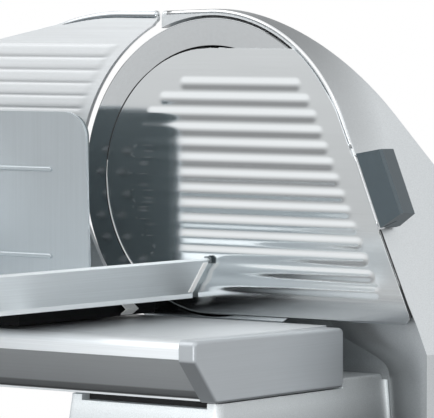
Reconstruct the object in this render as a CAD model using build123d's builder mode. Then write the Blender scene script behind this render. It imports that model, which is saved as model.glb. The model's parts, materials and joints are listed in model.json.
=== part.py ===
"""Food slicer with an upright 250 mm blade, a sliding food carriage and a turn-off blade cover.

Millimetres, +Z up. X runs along the carriage travel, the blade's plane is square to Y and the
food side faces -Y. Every sketch plane is placed from the middle of the blade.
"""
import math
import os

from build123d import *

os.makedirs("parts", exist_ok=True)

# where the middle of the blade sits above the middle of the footprint
BLADE_X = 79.25
BLADE_Y = 58.5
BLADE_Z = 260.0

# blade and its cover
BLADE_R = 125.0
RING_R = 104.3
COVER_R = 102.0
COVER_OUT_R = 128.5
COVER_TOP = 102.0
COVER_FRONT = -3.0
COVER_THICK = 1.5
COVER_TILT = 23.9
COVER_EDGE = 130.0
COVER_CORNER = 6.0
RIB_COUNT = 14
RIB_TOP = 74.9
RIB_PITCH = 11.8
RIB_RISE = 0.6
RIB_WIDE = 9.6
RIB_ENDS_R = 81.0
RIB_MARGIN = 18.0
GRIP_TILT = 22.3
GRIP_START = 29.2
GRIP_LONG = 59.3
GRIP_INNER = 134.8
GRIP_TOP_SLOPE = 0.138

# studs that hold the cover: radius and angle about the blade's middle
STUDS = ((133.5, -20.5), (133.5, -38.0))

# housing
WELL_R = 127.3
WELL_FLOOR = 13.0
RIM_R = 132.0
RIM_TILT = 23.0
RIM_FRONT = -1.0
HOUSE_BACK = 130.0
HOUSE_RIGHT = 196.0
HOUSE_LEFT = -50.0
HOUSE_SHOULDER = 130.5
HOUSE_TOP = 132.5
HOUSE_WALL = 5.0
RECESS_TOP = -100.0
RECESS_DEEP = 50.0
RECESS_EDGE = 3.5
RECESS_SIDE = (100.0, HOUSE_RIGHT + 2.0)
RECESS_STEP = 29.6
RECESS_STEP_Z = (-112.0, -143.0)
RECESS_LEAN = 7.4
RECESS_ROOF = (-84.0, -144.0)
RECESS_GAP = 0.5
RECESS_FADE = (-54.0, -110.0)
RECESS_LEVELS = [RECESS_FADE[0] - 12.0 * step for step in range(16)]
REAR_SPOT = (55.0, -125.0)
INLET_SPOT = (10.0, -182.0)

# base and ground
BASE_TOP = -225.0
BASE_LOW = -250.0
GROUND = -260.0
BASE_LEFT, BASE_RIGHT = -342.0, 205.0
BASE_FRONT, BASE_BACK = -185.0, 145.0
FOOT_INSET = 26.0

# guide beam for the carriage, and the pedestal that flares toward the base and steps up behind it
BEAM_TOP = -105.0
BEAM_LOW = -150.0
BEAM_BACK = -6.5
BEAM_NOSE = -187.0
BEAM_LEFT, BEAM_RIGHT = -330.0, 112.0
FAR_CAP_THICK, NEAR_CAP_THICK = 14.5, 12.0
PED_LEFT, PED_RIGHT, PED_FRONT, PED_BACK = -15.0, 123.0, -155.0, RECESS_DEEP
PED_TOP = BEAM_LOW - 2.0
PED_FLARE = 0.105 * (PED_TOP - BASE_TOP)
LEDGE_TOP = PED_TOP + 7.0
LEDGE_FRONT = BEAM_BACK + 5.0
COVE = 5.0
BOLT_HOLE_R = 3.1

# operator-end leg with the setting knob and the switch
BOX_LEFT, BOX_RIGHT, BOX_FRONT, BOX_BACK = -340.0, -296.0, -150.0, 95.0
BOX_MID = ((BOX_LEFT + BOX_RIGHT) / 2, (BOX_FRONT + BOX_BACK) / 2)
CAM_Y, CAM_Z = 46.0, -190.0
CAM_SPOT = (CAM_Y, CAM_Z)
CAM_R0, CAM_TRAVEL, CAM_TURN = 14.0, 14.0, 300.0
SPINDLE_R = 5.0
SWITCH_SPOT = (-70.0, -188.0)

# thickness plate
GAUGE_R = 133.0
GAUGE_FRONT = 1.2
GAUGE_THICK = 3.8
GAUGE_LEFT = -338.0
GAUGE_END = -55.0
GAUGE_TOP = 131.0
GAUGE_SHOULDER = 119.0
GAUGE_SLOPE_TOP = (-156.0, 119.6)
GAUGE_SLOPE = 0.2
GAUGE_RIB_COUNT = 16
GAUGE_RIB_PITCH = 10.1
GAUGE_RIB_WIDE = 8.6
GAUGE_RIB_RISE = 1.2
GAUGE_RIB_TOP = 99.2
GAUGE_RIB_END_R = 139.5
FLANGE_BACK = 16.0
FLANGE_THICK = 2.6
GUIDE_Z = -104.0
GUIDE_R = 5.0

# food tray and pusher
TRAY_FLOOR = -86.0
TRAY_LOW = -90.0
TRAY_LEFT, TRAY_RIGHT = -300.0, -14.6
TRAY_FRONT, TRAY_BACK = -262.0, -6.5
LIP_TOP = -58.6
LIP_OUT = 1.8
FENCE_TOP = 15.0
FENCE_THICK = 5.0
SLIDER_LOW = -102.0
PUSH_Y = -61.7
PUSH_LEFT = -295.0
PUSH_RIGHT = -74.0
PUSH_TOP = 53.0
PUSH_THICK = 2.5
PAD_THICK = 5.0
ROD_SPOT = (-318.0, -14.0)
ROD_R = 5.0
KNOB_SPOT = (-284.0, 25.0)
SPIKE_R = 1.5

# drive
MOTOR_SPOT = (105.0, -110.0)
MOTOR_FRONT, MOTOR_BACK = 80.0, 121.0
MOTOR_R = 41.0
MOTOR_SHAFT_R = 5.0
BELT_Y0, BELT_Y1 = 58.0, 72.0
BIG_PULLEY_R = 32.0
SMALL_PULLEY_R = 11.0
SHAFT_R = 7.5
BEARING_R = 17.5
HUB_R = 38.0

# running clearances on the radius
SLIDE_FIT = 0.06
TURN_FIT = 0.05


def front(y):
    """Plane square to Y: u is X, v is Z, and a positive extrusion comes toward the food side."""
    return Plane(origin=(BLADE_X, BLADE_Y + y, BLADE_Z), x_dir=(1, 0, 0), z_dir=(0, -1, 0))


def side(x):
    """Plane square to X: u is Y, v is Z, and a positive extrusion runs toward +X."""
    return Plane(origin=(BLADE_X + x, BLADE_Y, BLADE_Z), x_dir=(0, 1, 0), z_dir=(1, 0, 0))


def level(z):
    """Plane square to Z: u is X, v is Y, and a positive extrusion rises."""
    return Plane(origin=(BLADE_X, BLADE_Y, BLADE_Z + z))


def on_edge(tilt, out, along):
    """Point beside the slanting right edge: `out` from the blade's middle, `along` down the edge."""
    c, s = math.cos(math.radians(tilt)), math.sin(math.radians(tilt))
    return (out * c + along * s, out * s - along * c)


def polar(radius, angle):
    return (radius * math.cos(math.radians(angle)), radius * math.sin(math.radians(angle)))


def discs(plane, spots, radius):
    """Sketch of equal circles on a plane."""
    with BuildSketch(plane) as sketch:
        with Locations(*spots):
            Circle(radius)
    return sketch.sketch


def arc_band(plane, radius, half, start, end):
    """Sketch of a band about the blade's axis, `half` to each side of a radius."""
    angles = (start, (start + end) / 2, end)
    with BuildSketch(plane) as sketch:
        with BuildLine():
            outer = ThreePointArc(*[polar(radius + half, angle) for angle in angles])
            inner = ThreePointArc(*[polar(radius - half, angle) for angle in angles])
            Line(outer @ 0, inner @ 0)
            Line(outer @ 1, inner @ 1)
        make_face()
    return sketch.sketch


def finish(piece, name):
    piece.part.label = name
    export_step(piece.part, f"parts/{name}.step")


def fasteners(name, seat, spots, head, shank, out=1, hexagon=False, slot=None):
    """One node of equal screws: heads on the `out` side of the seat plane, shanks on the other.

    Head and shank are given by radius and length, the slot in the head by length, width and depth.
    """
    with BuildPart() as piece:
        with BuildSketch(seat):
            with Locations(*spots):
                if hexagon:
                    RegularPolygon(head[0], 6)
                else:
                    Circle(head[0])
        extrude(amount=out * head[1])
        with BuildSketch(seat):
            with Locations(*spots):
                Circle(shank[0])
        extrude(amount=-out * shank[1])
        if slot:
            with BuildSketch(seat.offset(out * head[1])):
                with Locations(*spots):
                    Rectangle(slot[0], slot[1])
            extrude(amount=-out * slot[2], mode=Mode.SUBTRACT)
    finish(piece, name)


# places of the fasteners
foot_spots = [(x, y) for x in (BASE_LEFT + FOOT_INSET, BASE_RIGHT - FOOT_INSET)
              for y in (BASE_FRONT + FOOT_INSET, BASE_BACK - FOOT_INSET)]
ped_bolt_spots = [(x, y) for x in (20.0, 88.0) for y in (-125.0, -40.0)]
box_bolt_spots = [(-313.0, -118.0), (-313.0, -34.0)]
guide_spots = [(x, GUIDE_Z) for x in (-330.0, -308.0)]
gauge_screw_spots = [(x, z) for x in (-331.0, -305.0) for z in (-55.0, -35.0)]
rear_screw_spots = [(REAR_SPOT[0] + dx, z) for dx in (-90.5, 90.5) for z in (-195.0, -125.0, -55.0)]
deflector_spots = [(26.0, -40.0), (26.0, 40.0)]
motor_screw_spots = [(MOTOR_SPOT[0] + dx, MOTOR_SPOT[1] + dz) for dx in (-24, 24) for dz in (-24, 24)]
blade_screw_spots = [polar(26, 90 + k * 120) for k in range(3)]
stud_spots = [polar(*stud) for stud in STUDS]
grip_screw_spots = [on_edge(GRIP_TILT, 143, along) for along in (42, 77)]
tray_screw_spots = [(y, -75.0) for y in (-60.0, -150.0, -240.0)]
pusher_screw_spots = [(KNOB_SPOT[0], KNOB_SPOT[1] + dz) for dz in (-9, 9)]

# fixed frame: base, feet, pedestal, beam
base_mid = ((BASE_LEFT + BASE_RIGHT) / 2, (BASE_FRONT + BASE_BACK) / 2)
base_wide = BASE_RIGHT - BASE_LEFT
base_deep = BASE_BACK - BASE_FRONT
with BuildPart() as base:
    with BuildSketch(level(BASE_LOW)):
        with Locations(base_mid):
            RectangleRounded(base_wide, base_deep, 28)
    extrude(amount=BASE_TOP - BASE_LOW)
    fillet(base.faces().sort_by(Axis.Z)[-1].edges(), 7)
    with BuildSketch(level(BASE_LOW)):
        with Locations(base_mid):
            RectangleRounded(base_wide - 10, base_deep - 10, 23)
    extrude(amount=BASE_TOP - BASE_LOW - 6, mode=Mode.SUBTRACT)
    extrude(discs(level(BASE_LOW), foot_spots, 14), amount=BASE_TOP - BASE_LOW - 3)
    extrude(discs(level(BASE_LOW), foot_spots, 2.6), amount=16, mode=Mode.SUBTRACT)
finish(base, "base")

with BuildPart() as feet:
    with BuildSketch(level(BASE_LOW)):
        with Locations(*foot_spots):
            Circle(15)
    extrude(amount=GROUND - BASE_LOW, taper=8)
    extrude(discs(level(GROUND), foot_spots, 6), amount=5, mode=Mode.SUBTRACT)
    extrude(discs(level(GROUND), foot_spots, 2.7), amount=10, mode=Mode.SUBTRACT)
finish(feet, "feet")
fasteners("foot_screws", level(GROUND + 5), foot_spots, (5, 3.4), (2.5, 20), out=-1, slot=(7, 1.2, 1.2))

ped_mid_x = (PED_LEFT + PED_RIGHT) / 2
ped_wide = PED_RIGHT - PED_LEFT
with BuildPart() as pedestal:
    with BuildSketch(level(BASE_TOP)):
        with Locations((ped_mid_x, (PED_FRONT - PED_FLARE + PED_BACK) / 2)):
            Rectangle(ped_wide + 2 * PED_FLARE, PED_BACK - PED_FRONT + PED_FLARE)
    with BuildSketch(level(LEDGE_TOP)):
        with Locations((ped_mid_x, (PED_FRONT + PED_BACK) / 2)):
            Rectangle(ped_wide, PED_BACK - PED_FRONT)
    loft()
    fillet(pedestal.edges().filter_by(lambda e: abs(e.tangent_at(0.5).Z) > 0.8).group_by(Axis.Y)[0], 7)
    fillet(pedestal.faces().sort_by(Axis.Z)[-1].edges().filter_by(Axis.Y).sort_by(Axis.X)[-1], 3)
    # hollow corner between the right side and the housing's recess
    for cove_z, cove_x in ((BASE_TOP, PED_RIGHT + PED_FLARE), (PED_TOP + 3, PED_RIGHT + PED_FLARE * 0.05)):
        with BuildSketch(level(cove_z)):
            with BuildLine():
                Polyline((cove_x, PED_BACK - COVE), (cove_x - 2, PED_BACK - COVE), (cove_x - 2, PED_BACK),
                         (cove_x + COVE, PED_BACK))
                ThreePointArc((cove_x + COVE, PED_BACK), (cove_x + 0.293 * COVE, PED_BACK - 0.293 * COVE),
                              (cove_x, PED_BACK - COVE))
            make_face()
    loft()
    with BuildSketch(level(PED_TOP)):
        with Locations((ped_mid_x, (PED_FRONT + LEDGE_FRONT) / 2 - 10)):
            Rectangle(ped_wide + 60, LEDGE_FRONT - PED_FRONT + 20)
    extrude(amount=20, mode=Mode.SUBTRACT)
    with BuildSketch(level(BASE_TOP)):
        with Locations((ped_mid_x, (PED_FRONT + PED_BACK) / 2)):
            Rectangle(ped_wide - 8, PED_BACK - PED_FRONT - 12)
    extrude(amount=PED_TOP - BASE_TOP - 8, mode=Mode.SUBTRACT)
    with BuildSketch(front(PED_FRONT + 12)):
        with Locations((ped_mid_x + 1, PED_TOP - 2)):
            Rectangle(116, 4.4)
    extrude(amount=30, mode=Mode.SUBTRACT)
    extrude(discs(level(PED_TOP), ped_bolt_spots, 11), amount=BEAM_LOW - PED_TOP)
    extrude(discs(level(PED_TOP - 8), ped_bolt_spots, BOLT_HOLE_R), amount=10, mode=Mode.SUBTRACT)
finish(pedestal, "pedestal")

with BuildPart() as pedestal_seal:
    with BuildSketch(front(PED_FRONT + 12)):
        with Locations((ped_mid_x + 1, BEAM_LOW - 3.7)):
            Rectangle(115.8, 5)
    extrude(amount=4)
finish(pedestal_seal, "pedestal_seal")

beam_shoulder = (-176, BEAM_TOP)
beam_low_line = [(BEAM_NOSE, -111), (BEAM_NOSE, -118.5), (-183.8, -118.5), (-165.5, -143.2),
                 (-161.5, -148.2), (-163, -148.2), (-163, BEAM_LOW), (BEAM_BACK, BEAM_LOW),
                 (BEAM_BACK, BEAM_TOP), beam_shoulder]
beam_cells = [[(-11, -109), (-88, -109), (-88, -146), (-11, -146)],
              [(-92, -109), (-174, -109), (-181, -113.5), (-160.5, -143), (-158, -146), (-92, -146)]]
with BuildPart() as beam:
    with BuildSketch(side(BEAM_LEFT)):
        with BuildLine():
            ThreePointArc(beam_shoulder, (-184, -106.4), beam_low_line[0])
            Polyline(*beam_low_line)
        make_face()
        for cell in beam_cells:
            Polygon(*cell, align=None, mode=Mode.SUBTRACT)
        with Locations((-158, BEAM_TOP)):
            Rectangle(1.6, 1.4, mode=Mode.SUBTRACT)
    extrude(amount=BEAM_RIGHT - BEAM_LEFT)
    bolt_holes = discs(level(BEAM_LOW), ped_bolt_spots + box_bolt_spots, BOLT_HOLE_R)
    extrude(bolt_holes, amount=4, mode=Mode.SUBTRACT)
finish(beam, "beam")

cap_outline = [(BEAM_BACK + 2.5, BEAM_TOP - 1.2), (BEAM_NOSE - 1, BEAM_TOP + 1), (BEAM_NOSE - 1, -119.5),
               (-161.5, BEAM_LOW - 1), (BEAM_BACK + 2.5, BEAM_LOW - 1)]
for cap_name, cap_x, cap_reach in (("beam_cap_far", BEAM_RIGHT, FAR_CAP_THICK),
                                   ("beam_cap_near", BEAM_LEFT, -NEAR_CAP_THICK)):
    with BuildPart() as cap:
        with BuildSketch(side(cap_x)):
            Polygon(*cap_outline, align=None)
            fillet(vertices(), 4.5)
        extrude(amount=cap_reach)
        fillet(cap.faces().sort_by(Axis.X)[-1 if cap_reach > 0 else 0].edges(), 2.6)
    finish(cap, cap_name)

with BuildPart() as beam_bolts:
    for spots, seat in ((ped_bolt_spots, PED_TOP - 8), (box_bolt_spots, PED_TOP - 3)):
        with BuildSketch(level(seat)):
            with Locations(*spots):
                RegularPolygon(6.5, 6)
        extrude(amount=-5)
        extrude(discs(level(seat), spots, 3), amount=BEAM_LOW + 4 - seat)
finish(beam_bolts, "beam_bolts")

# operator-end leg with the thickness setting
with BuildPart() as control_box:
    with BuildSketch(level(BASE_TOP)):
        with Locations(BOX_MID):
            RectangleRounded(BOX_RIGHT - BOX_LEFT, BOX_BACK - BOX_FRONT, 6)
    extrude(amount=PED_TOP + 1 - BASE_TOP)
    with BuildSketch(level(BASE_TOP)):
        with Locations(BOX_MID):
            RectangleRounded(BOX_RIGHT - BOX_LEFT - 8, BOX_BACK - BOX_FRONT - 8, 3)
    extrude(amount=PED_TOP - 3 - BASE_TOP, mode=Mode.SUBTRACT)
    with BuildSketch(level(PED_TOP - 2)):
        with Locations((BOX_MID[0], 12), (BOX_MID[0], 88)):
            Rectangle(BOX_RIGHT - BOX_LEFT, 8)
    extrude(amount=-85 - PED_TOP + 2)
    extrude(discs(level(PED_TOP + 1), box_bolt_spots, 11), amount=BEAM_LOW - PED_TOP - 1)
    extrude(discs(level(PED_TOP - 3), box_bolt_spots, BOLT_HOLE_R), amount=5, mode=Mode.SUBTRACT)
    extrude(discs(front(BOX_BACK), guide_spots, GUIDE_R), amount=90, mode=Mode.SUBTRACT)
    with BuildSketch(level(PED_TOP - 5)):
        with Locations((-313, 67)):
            Rectangle(10, 32)
    extrude(amount=10, mode=Mode.SUBTRACT)
    with BuildSketch(side(BOX_LEFT - 1)):
        with Locations(CAM_SPOT):
            Circle(SPINDLE_R + 0.4)
        with Locations(SWITCH_SPOT):
            Rectangle(20, 32)
    extrude(amount=6, mode=Mode.SUBTRACT)
finish(control_box, "control_box")

with BuildPart() as gauge_rods:
    extrude(discs(front(BOX_BACK - 3), guide_spots, GUIDE_R), amount=84)
finish(gauge_rods, "gauge_rods")

with BuildPart() as dial_ring:
    with BuildSketch(side(BOX_LEFT)):
        with Locations(CAM_SPOT):
            Circle(32)
            Circle(SPINDLE_R + 0.4, mode=Mode.SUBTRACT)
    extrude(amount=-2.5)
    with BuildSketch(side(BOX_LEFT - 2.5)):
        for step in range(16):
            mark = polar(28.6, 90 + step * 20)
            with Locations((CAM_Y + mark[0], CAM_Z + mark[1])):
                Rectangle(4.4, 0.9, rotation=90 + step * 20)
    extrude(amount=0.5, mode=Mode.SUBTRACT)
finish(dial_ring, "dial_ring")

with BuildPart() as knob:
    with BuildSketch(side(BOX_LEFT - 3)):
        with Locations(CAM_SPOT):
            Circle(25)
    extrude(amount=-7, taper=6)
    with BuildSketch(side(BOX_LEFT - 10)):
        with Locations(CAM_SPOT):
            Circle(21.5)
    extrude(amount=-13, taper=3)
    fillet(knob.faces().sort_by(Axis.X)[0].edges(), 2.5)
    with BuildSketch(side(BOX_LEFT - 24)):
        with Locations(CAM_SPOT):
            with PolarLocations(23.6, 12, start_angle=15):
                Circle(3.6)
    extrude(amount=14, mode=Mode.SUBTRACT)
    extrude(discs(side(BOX_LEFT - 3), [CAM_SPOT], SPINDLE_R), amount=-12, mode=Mode.SUBTRACT)
finish(knob, "knob")

with BuildPart() as knob_mark:
    with BuildSketch(side(BOX_LEFT - 23)):
        with Locations((CAM_Y, CAM_Z + 11)):
            SlotOverall(11, 2.2, rotation=90)
    extrude(amount=-0.5)
finish(knob_mark, "knob_mark")

# the scroll's groove draws the follower outward in step with the turn
groove = []
for step in range(58):
    turned = -18 + step * 6
    spot = polar(CAM_R0 + CAM_TRAVEL * turned / CAM_TURN, -turned)
    groove.append((CAM_Y + spot[0], CAM_Z + spot[1]))
with BuildPart() as cam:
    extrude(discs(side(-327), [CAM_SPOT], 33), amount=7)
    with BuildSketch(side(-320)):
        with BuildLine():
            Spline(*groove)
        trace(line_width=4.8)
    extrude(amount=-4.5, mode=Mode.SUBTRACT)
    extrude(discs(side(-354), [CAM_SPOT], SPINDLE_R), amount=30)
finish(cam, "cam")

with BuildPart() as switch_frame:
    with BuildSketch(side(BOX_LEFT)):
        with Locations(SWITCH_SPOT):
            RectangleRounded(25, 37, 2.5)
            Rectangle(17, 28.6, mode=Mode.SUBTRACT)
    extrude(amount=-2)
    with BuildSketch(side(BOX_LEFT)):
        with Locations(SWITCH_SPOT):
            Rectangle(19.6, 31.6)
            Rectangle(17, 28.6, mode=Mode.SUBTRACT)
    extrude(amount=12)
finish(switch_frame, "switch_frame")

with BuildPart() as switch_rocker:
    with BuildSketch(front(SWITCH_SPOT[0] + 8.1)):
        Polygon((BOX_LEFT + 8, -200), (BOX_LEFT - 1.2, -201.4), (BOX_LEFT - 3, -188),
                (BOX_LEFT - 5.2, -175.6), (BOX_LEFT + 8, -176), align=None)
    extrude(amount=16.2)
    fillet(switch_rocker.edges().filter_by(Axis.Y).group_by(Axis.X)[0], 0.8)
finish(switch_rocker, "switch_rocker")

# thickness plate
gauge_start = (-math.sqrt(GAUGE_R ** 2 - GAUGE_SHOULDER ** 2), GAUGE_SHOULDER)
gauge_foot = polar(GAUGE_R, 218)
gauge_crest = (-88, GAUGE_TOP - 0.4)
# rings of the rolled top edge: place along it, height of its top and radius
hem_rings = ((-150, 121.4, 0.6), (-120, 127.8, 2.0), (-88, 130.6, 2.8), (GAUGE_END, GAUGE_TOP, 3.0))
with BuildPart() as gauge_plate:
    with BuildSketch(front(GAUGE_FRONT + GAUGE_THICK)):
        with BuildLine():
            ThreePointArc(gauge_foot, (-GAUGE_R, 0), gauge_start)
            Polyline(gauge_start, (GAUGE_END, 124), (GAUGE_END, GAUGE_TOP), gauge_crest)
            ThreePointArc(gauge_crest, (-124, 127.2), GAUGE_SLOPE_TOP)
            Polyline(GAUGE_SLOPE_TOP, (GAUGE_LEFT, 83.2), (GAUGE_LEFT, gauge_foot[1]), gauge_foot)
        make_face()
    extrude(amount=GAUGE_THICK)
    for hem_x, hem_top, hem_r in hem_rings:
        with BuildSketch(side(hem_x)):
            with Locations((GAUGE_FRONT + 0.6, hem_top - hem_r)):
                Circle(hem_r)
    loft()
    extrude(arc_band(front(FLANGE_BACK), GAUGE_R + FLANGE_THICK / 2, FLANGE_THICK / 2, 186, 218),
            amount=FLANGE_BACK - GAUGE_FRONT - GAUGE_THICK)
    with BuildSketch(front(GAUGE_FRONT)):
        for rib in range(GAUGE_RIB_COUNT):
            rib_z = GAUGE_RIB_TOP - rib * GAUGE_RIB_PITCH
            rib_end = -math.sqrt(GAUGE_RIB_END_R ** 2 - rib_z ** 2)
            rib_start = max(GAUGE_LEFT + 12, GAUGE_SLOPE_TOP[0] - (110.6 - rib_z) / GAUGE_SLOPE)
            with Locations(((rib_start + rib_end) / 2, rib_z)):
                SlotOverall(rib_end - rib_start, GAUGE_RIB_WIDE)
    extrude(amount=GAUGE_RIB_RISE)
    fillet(gauge_plate.faces().filter_by(Plane.XZ).group_by(Axis.Y)[0].edges(), 1.1)
    extrude(discs(front(GAUGE_FRONT + GAUGE_THICK), gauge_screw_spots, 1.7), amount=2.6, mode=Mode.SUBTRACT)
finish(gauge_plate, "gauge_plate")

with BuildPart() as gauge_bracket:
    with BuildSketch(level(-118)):
        with Locations((-319, 49)):
            Rectangle(38, 30)
    extrude(amount=28)
    with BuildSketch(level(-92)):
        with Locations((-318, 40)):
            Rectangle(38, 12)
    extrude(amount=67)
    with BuildSketch(level(-62)):
        with Locations((-318, 22)):
            Rectangle(38, 34)
    extrude(amount=34)
    with BuildSketch(level(CAM_Z - 6)):
        with Locations((-313, CAM_Y + CAM_R0)):
            Rectangle(5, 11)
    extrude(amount=-116 - CAM_Z + 6)
    extrude(discs(front(70), guide_spots, GUIDE_R + SLIDE_FIT), amount=40, mode=Mode.SUBTRACT)
    extrude(discs(front(46), gauge_screw_spots, 1.9), amount=42, mode=Mode.SUBTRACT)
finish(gauge_bracket, "gauge_bracket")

with BuildPart() as gauge_follower:
    extrude(discs(side(-323.6), [(CAM_Y + CAM_R0, CAM_Z)], 2), amount=8.1)
finish(gauge_follower, "gauge_follower")
fasteners("gauge_screws", front(46), gauge_screw_spots, (3.4, 2.2), (1.6, 43.2), out=-1, slot=(4.6, 1, 0.9))

# housing behind the blade
rim_touch = polar(RIM_R, RIM_TILT)
rim_foot = on_edge(RIM_TILT, RIM_R, (HOUSE_RIGHT - rim_touch[0]) / math.sin(math.radians(RIM_TILT)))


def house_outline():
    """Closed outline of the housing seen from the food side."""
    Line((HOUSE_LEFT, HOUSE_SHOULDER), (0, RIM_R))
    ThreePointArc((0, RIM_R), polar(RIM_R, (90 + RIM_TILT) / 2), rim_touch)
    Polyline(rim_touch, rim_foot, (HOUSE_RIGHT, BASE_TOP), (HOUSE_LEFT, BASE_TOP),
             (HOUSE_LEFT, HOUSE_SHOULDER))


with BuildPart() as core:
    with BuildSketch(front(HOUSE_BACK)):
        with BuildLine():
            house_outline()
        make_face()
        offset(amount=-HOUSE_WALL, mode=Mode.REPLACE)
        with Locations(((HOUSE_LEFT + HOUSE_RIGHT) / 2, BASE_TOP)):
            Rectangle(HOUSE_RIGHT - HOUSE_LEFT - 2 * HOUSE_WALL, 30)
    extrude(amount=HOUSE_BACK - WELL_FLOOR - 6)
    with BuildSketch(side(HOUSE_LEFT - 10)):
        Polygon((19, BASE_TOP - 10), (19, 110), (124.5, -33), (124.5, BASE_TOP - 10), align=None)
    extrude(amount=300, mode=Mode.INTERSECT)
    with BuildSketch(level(BASE_TOP - 20)):
        Polygon((-70, 0), (-70, RECESS_DEEP + HOUSE_WALL), (151, RECESS_DEEP + HOUSE_WALL), (212, 12),
                (210, 0), align=None)
    extrude(amount=RECESS_TOP + HOUSE_WALL - BASE_TOP + 20, mode=Mode.SUBTRACT)


def eased(value, start, end):
    """Smooth step from 0 at the start to 1 at the end."""
    share = min(max((value - start) / (end - start), 0.0), 1.0)
    return share * share * (3 - 2 * share)


def recess_section(z):
    """Space under the cover at a height: swept back from the front face, fading out to the right."""
    edge = RIM_FRONT - 0.5 + (RECESS_EDGE - RIM_FRONT + 0.5) * eased(z, *RECESS_FADE)
    deep = (RECESS_DEEP + RECESS_GAP - edge) * eased(z, *RECESS_ROOF)
    left, right = RECESS_SIDE
    left += RECESS_STEP * eased(z, *RECESS_STEP_Z)
    left += RECESS_LEAN * max(LEDGE_TOP - z, 0) / (LEDGE_TOP - BASE_TOP)
    shares = [step / 5 for step in range(6)]
    wall = [(left + (right - left) * share, edge + deep * (1 - share) ** 2) for share in shares]
    with BuildSketch(level(z)) as sketch:
        with BuildLine():
            curve = Spline(*wall, tangents=((right - left, -2 * deep), (1, 0)))
            Polyline(curve @ 1, (right, -10), (-70, -10), (-70, edge + deep), curve @ 0)
        make_face()
    return sketch.sketch


with BuildPart() as recess:
    loft([recess_section(z) for z in RECESS_LEVELS])

with BuildPart() as housing:
    with BuildSketch(front(HOUSE_BACK)):
        with BuildLine():
            house_outline()
        make_face()
        fillet(vertices().group_by(Axis.X)[0].sort_by(Axis.Y)[-1], 4)
    extrude(amount=HOUSE_BACK - RIM_FRONT)
    fillet(housing.faces().sort_by(Axis.Y)[0].edges().filter_by(
        lambda e: e.center().Z - BLADE_Z > -200 and e.center().X - BLADE_X > -40), 2.2)
    with BuildSketch(side(HOUSE_LEFT - 10)):
        Polygon((-5, BASE_TOP), (-5, 140), (9.6, 140), (9.6, HOUSE_TOP), (HOUSE_BACK, -30),
                (HOUSE_BACK, BASE_TOP), align=None)
    extrude(amount=300, mode=Mode.INTERSECT)
    add(core.part, mode=Mode.SUBTRACT)
    with BuildSketch(front(WELL_FLOOR)):
        Circle(WELL_R)
        Polygon((0, 0), on_edge(RIM_TILT, 124, 20), on_edge(RIM_TILT, 124, 140), (160, -97), (0, -97),
                align=None)
    extrude(amount=20, mode=Mode.SUBTRACT)
    add(recess.part, mode=Mode.SUBTRACT)
    extrude(discs(front(52), [(0, 0)], 25), amount=52 - WELL_FLOOR)
    extrude(discs(front(60), [(0, 0)], BEARING_R), amount=60, mode=Mode.SUBTRACT)
    with BuildSketch(front(HOUSE_BACK + 1)):
        with Locations(REAR_SPOT):
            RectangleRounded(172, 150, 10)
    extrude(amount=10, mode=Mode.SUBTRACT)
    extrude(discs(front(HOUSE_BACK), rear_screw_spots, 1.6), amount=5, mode=Mode.SUBTRACT)
    extrude(discs(side(HOUSE_LEFT), deflector_spots, 1.6), amount=6, mode=Mode.SUBTRACT)
    extrude(discs(front(WELL_FLOOR + 5), stud_spots, 3), amount=6, mode=Mode.SUBTRACT)
finish(housing, "housing")

with BuildPart() as rear_cover:
    with BuildSketch(front(HOUSE_BACK + 3)):
        with Locations(REAR_SPOT):
            RectangleRounded(190, 166, 12)
    extrude(amount=3)
    fillet(rear_cover.faces().sort_by(Axis.Y)[-1].edges(), 1.4)
    with BuildSketch(front(HOUSE_BACK + 4)):
        with Locations(MOTOR_SPOT):
            with GridLocations(0, 9, 1, 7):
                SlotOverall(84, 4)
        with Locations(*rear_screw_spots):
            Circle(1.9)
        with Locations(INLET_SPOT):
            Rectangle(28, 20)
    extrude(amount=6, mode=Mode.SUBTRACT)
finish(rear_cover, "rear_cover")

with BuildPart() as rear_cover_screws:
    extrude(discs(front(HOUSE_BACK + 5), rear_screw_spots, 3.5), amount=2)
    fillet(rear_cover_screws.faces().group_by(Axis.Y)[-1].edges(), 0.8)
    extrude(discs(front(HOUSE_BACK + 3), rear_screw_spots, 1.5), amount=7.6)
    with BuildSketch(front(HOUSE_BACK + 5)):
        with Locations(*rear_screw_spots):
            Rectangle(4.4, 1)
            Rectangle(1, 4.4)
    extrude(amount=1, mode=Mode.SUBTRACT)
finish(rear_cover_screws, "rear_cover_screws")

with BuildPart() as inlet:
    with BuildSketch(front(HOUSE_BACK + 5)):
        with Locations(INLET_SPOT):
            RectangleRounded(34, 26, 3)
    extrude(amount=2)
    with BuildSketch(front(HOUSE_BACK + 3)):
        with Locations(INLET_SPOT):
            Rectangle(27.6, 19.6)
    extrude(amount=20)
    with BuildSketch(front(HOUSE_BACK + 6)):
        with Locations(INLET_SPOT):
            Rectangle(23, 15)
    extrude(amount=17, mode=Mode.SUBTRACT)
finish(inlet, "inlet")

with BuildPart() as inlet_pins:
    with BuildSketch(front(HOUSE_BACK - 11)):
        with Locations((3, -184), (17, -184), (10, -179)):
            Rectangle(2, 4)
    extrude(amount=-13)
finish(inlet_pins, "inlet_pins")

with BuildPart() as deflector:
    with BuildSketch(level(-62)):
        with BuildLine():
            Line((HOUSE_LEFT - 0.8, 18), (HOUSE_LEFT - 0.8, 34))
            ThreePointArc((HOUSE_LEFT - 0.8, 34), (-58, 46), (-78, 53))
            Line((-78, 53), (-104, 58))
        trace(line_width=1.6)
    extrude(amount=124)
    extrude(discs(side(HOUSE_LEFT - 4), deflector_spots, 1.8), amount=6, mode=Mode.SUBTRACT)
finish(deflector, "deflector")
fasteners("deflector_screws", side(HOUSE_LEFT - 1.6), deflector_spots, (3.2, 2), (1.5, 6), out=-1)

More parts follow.
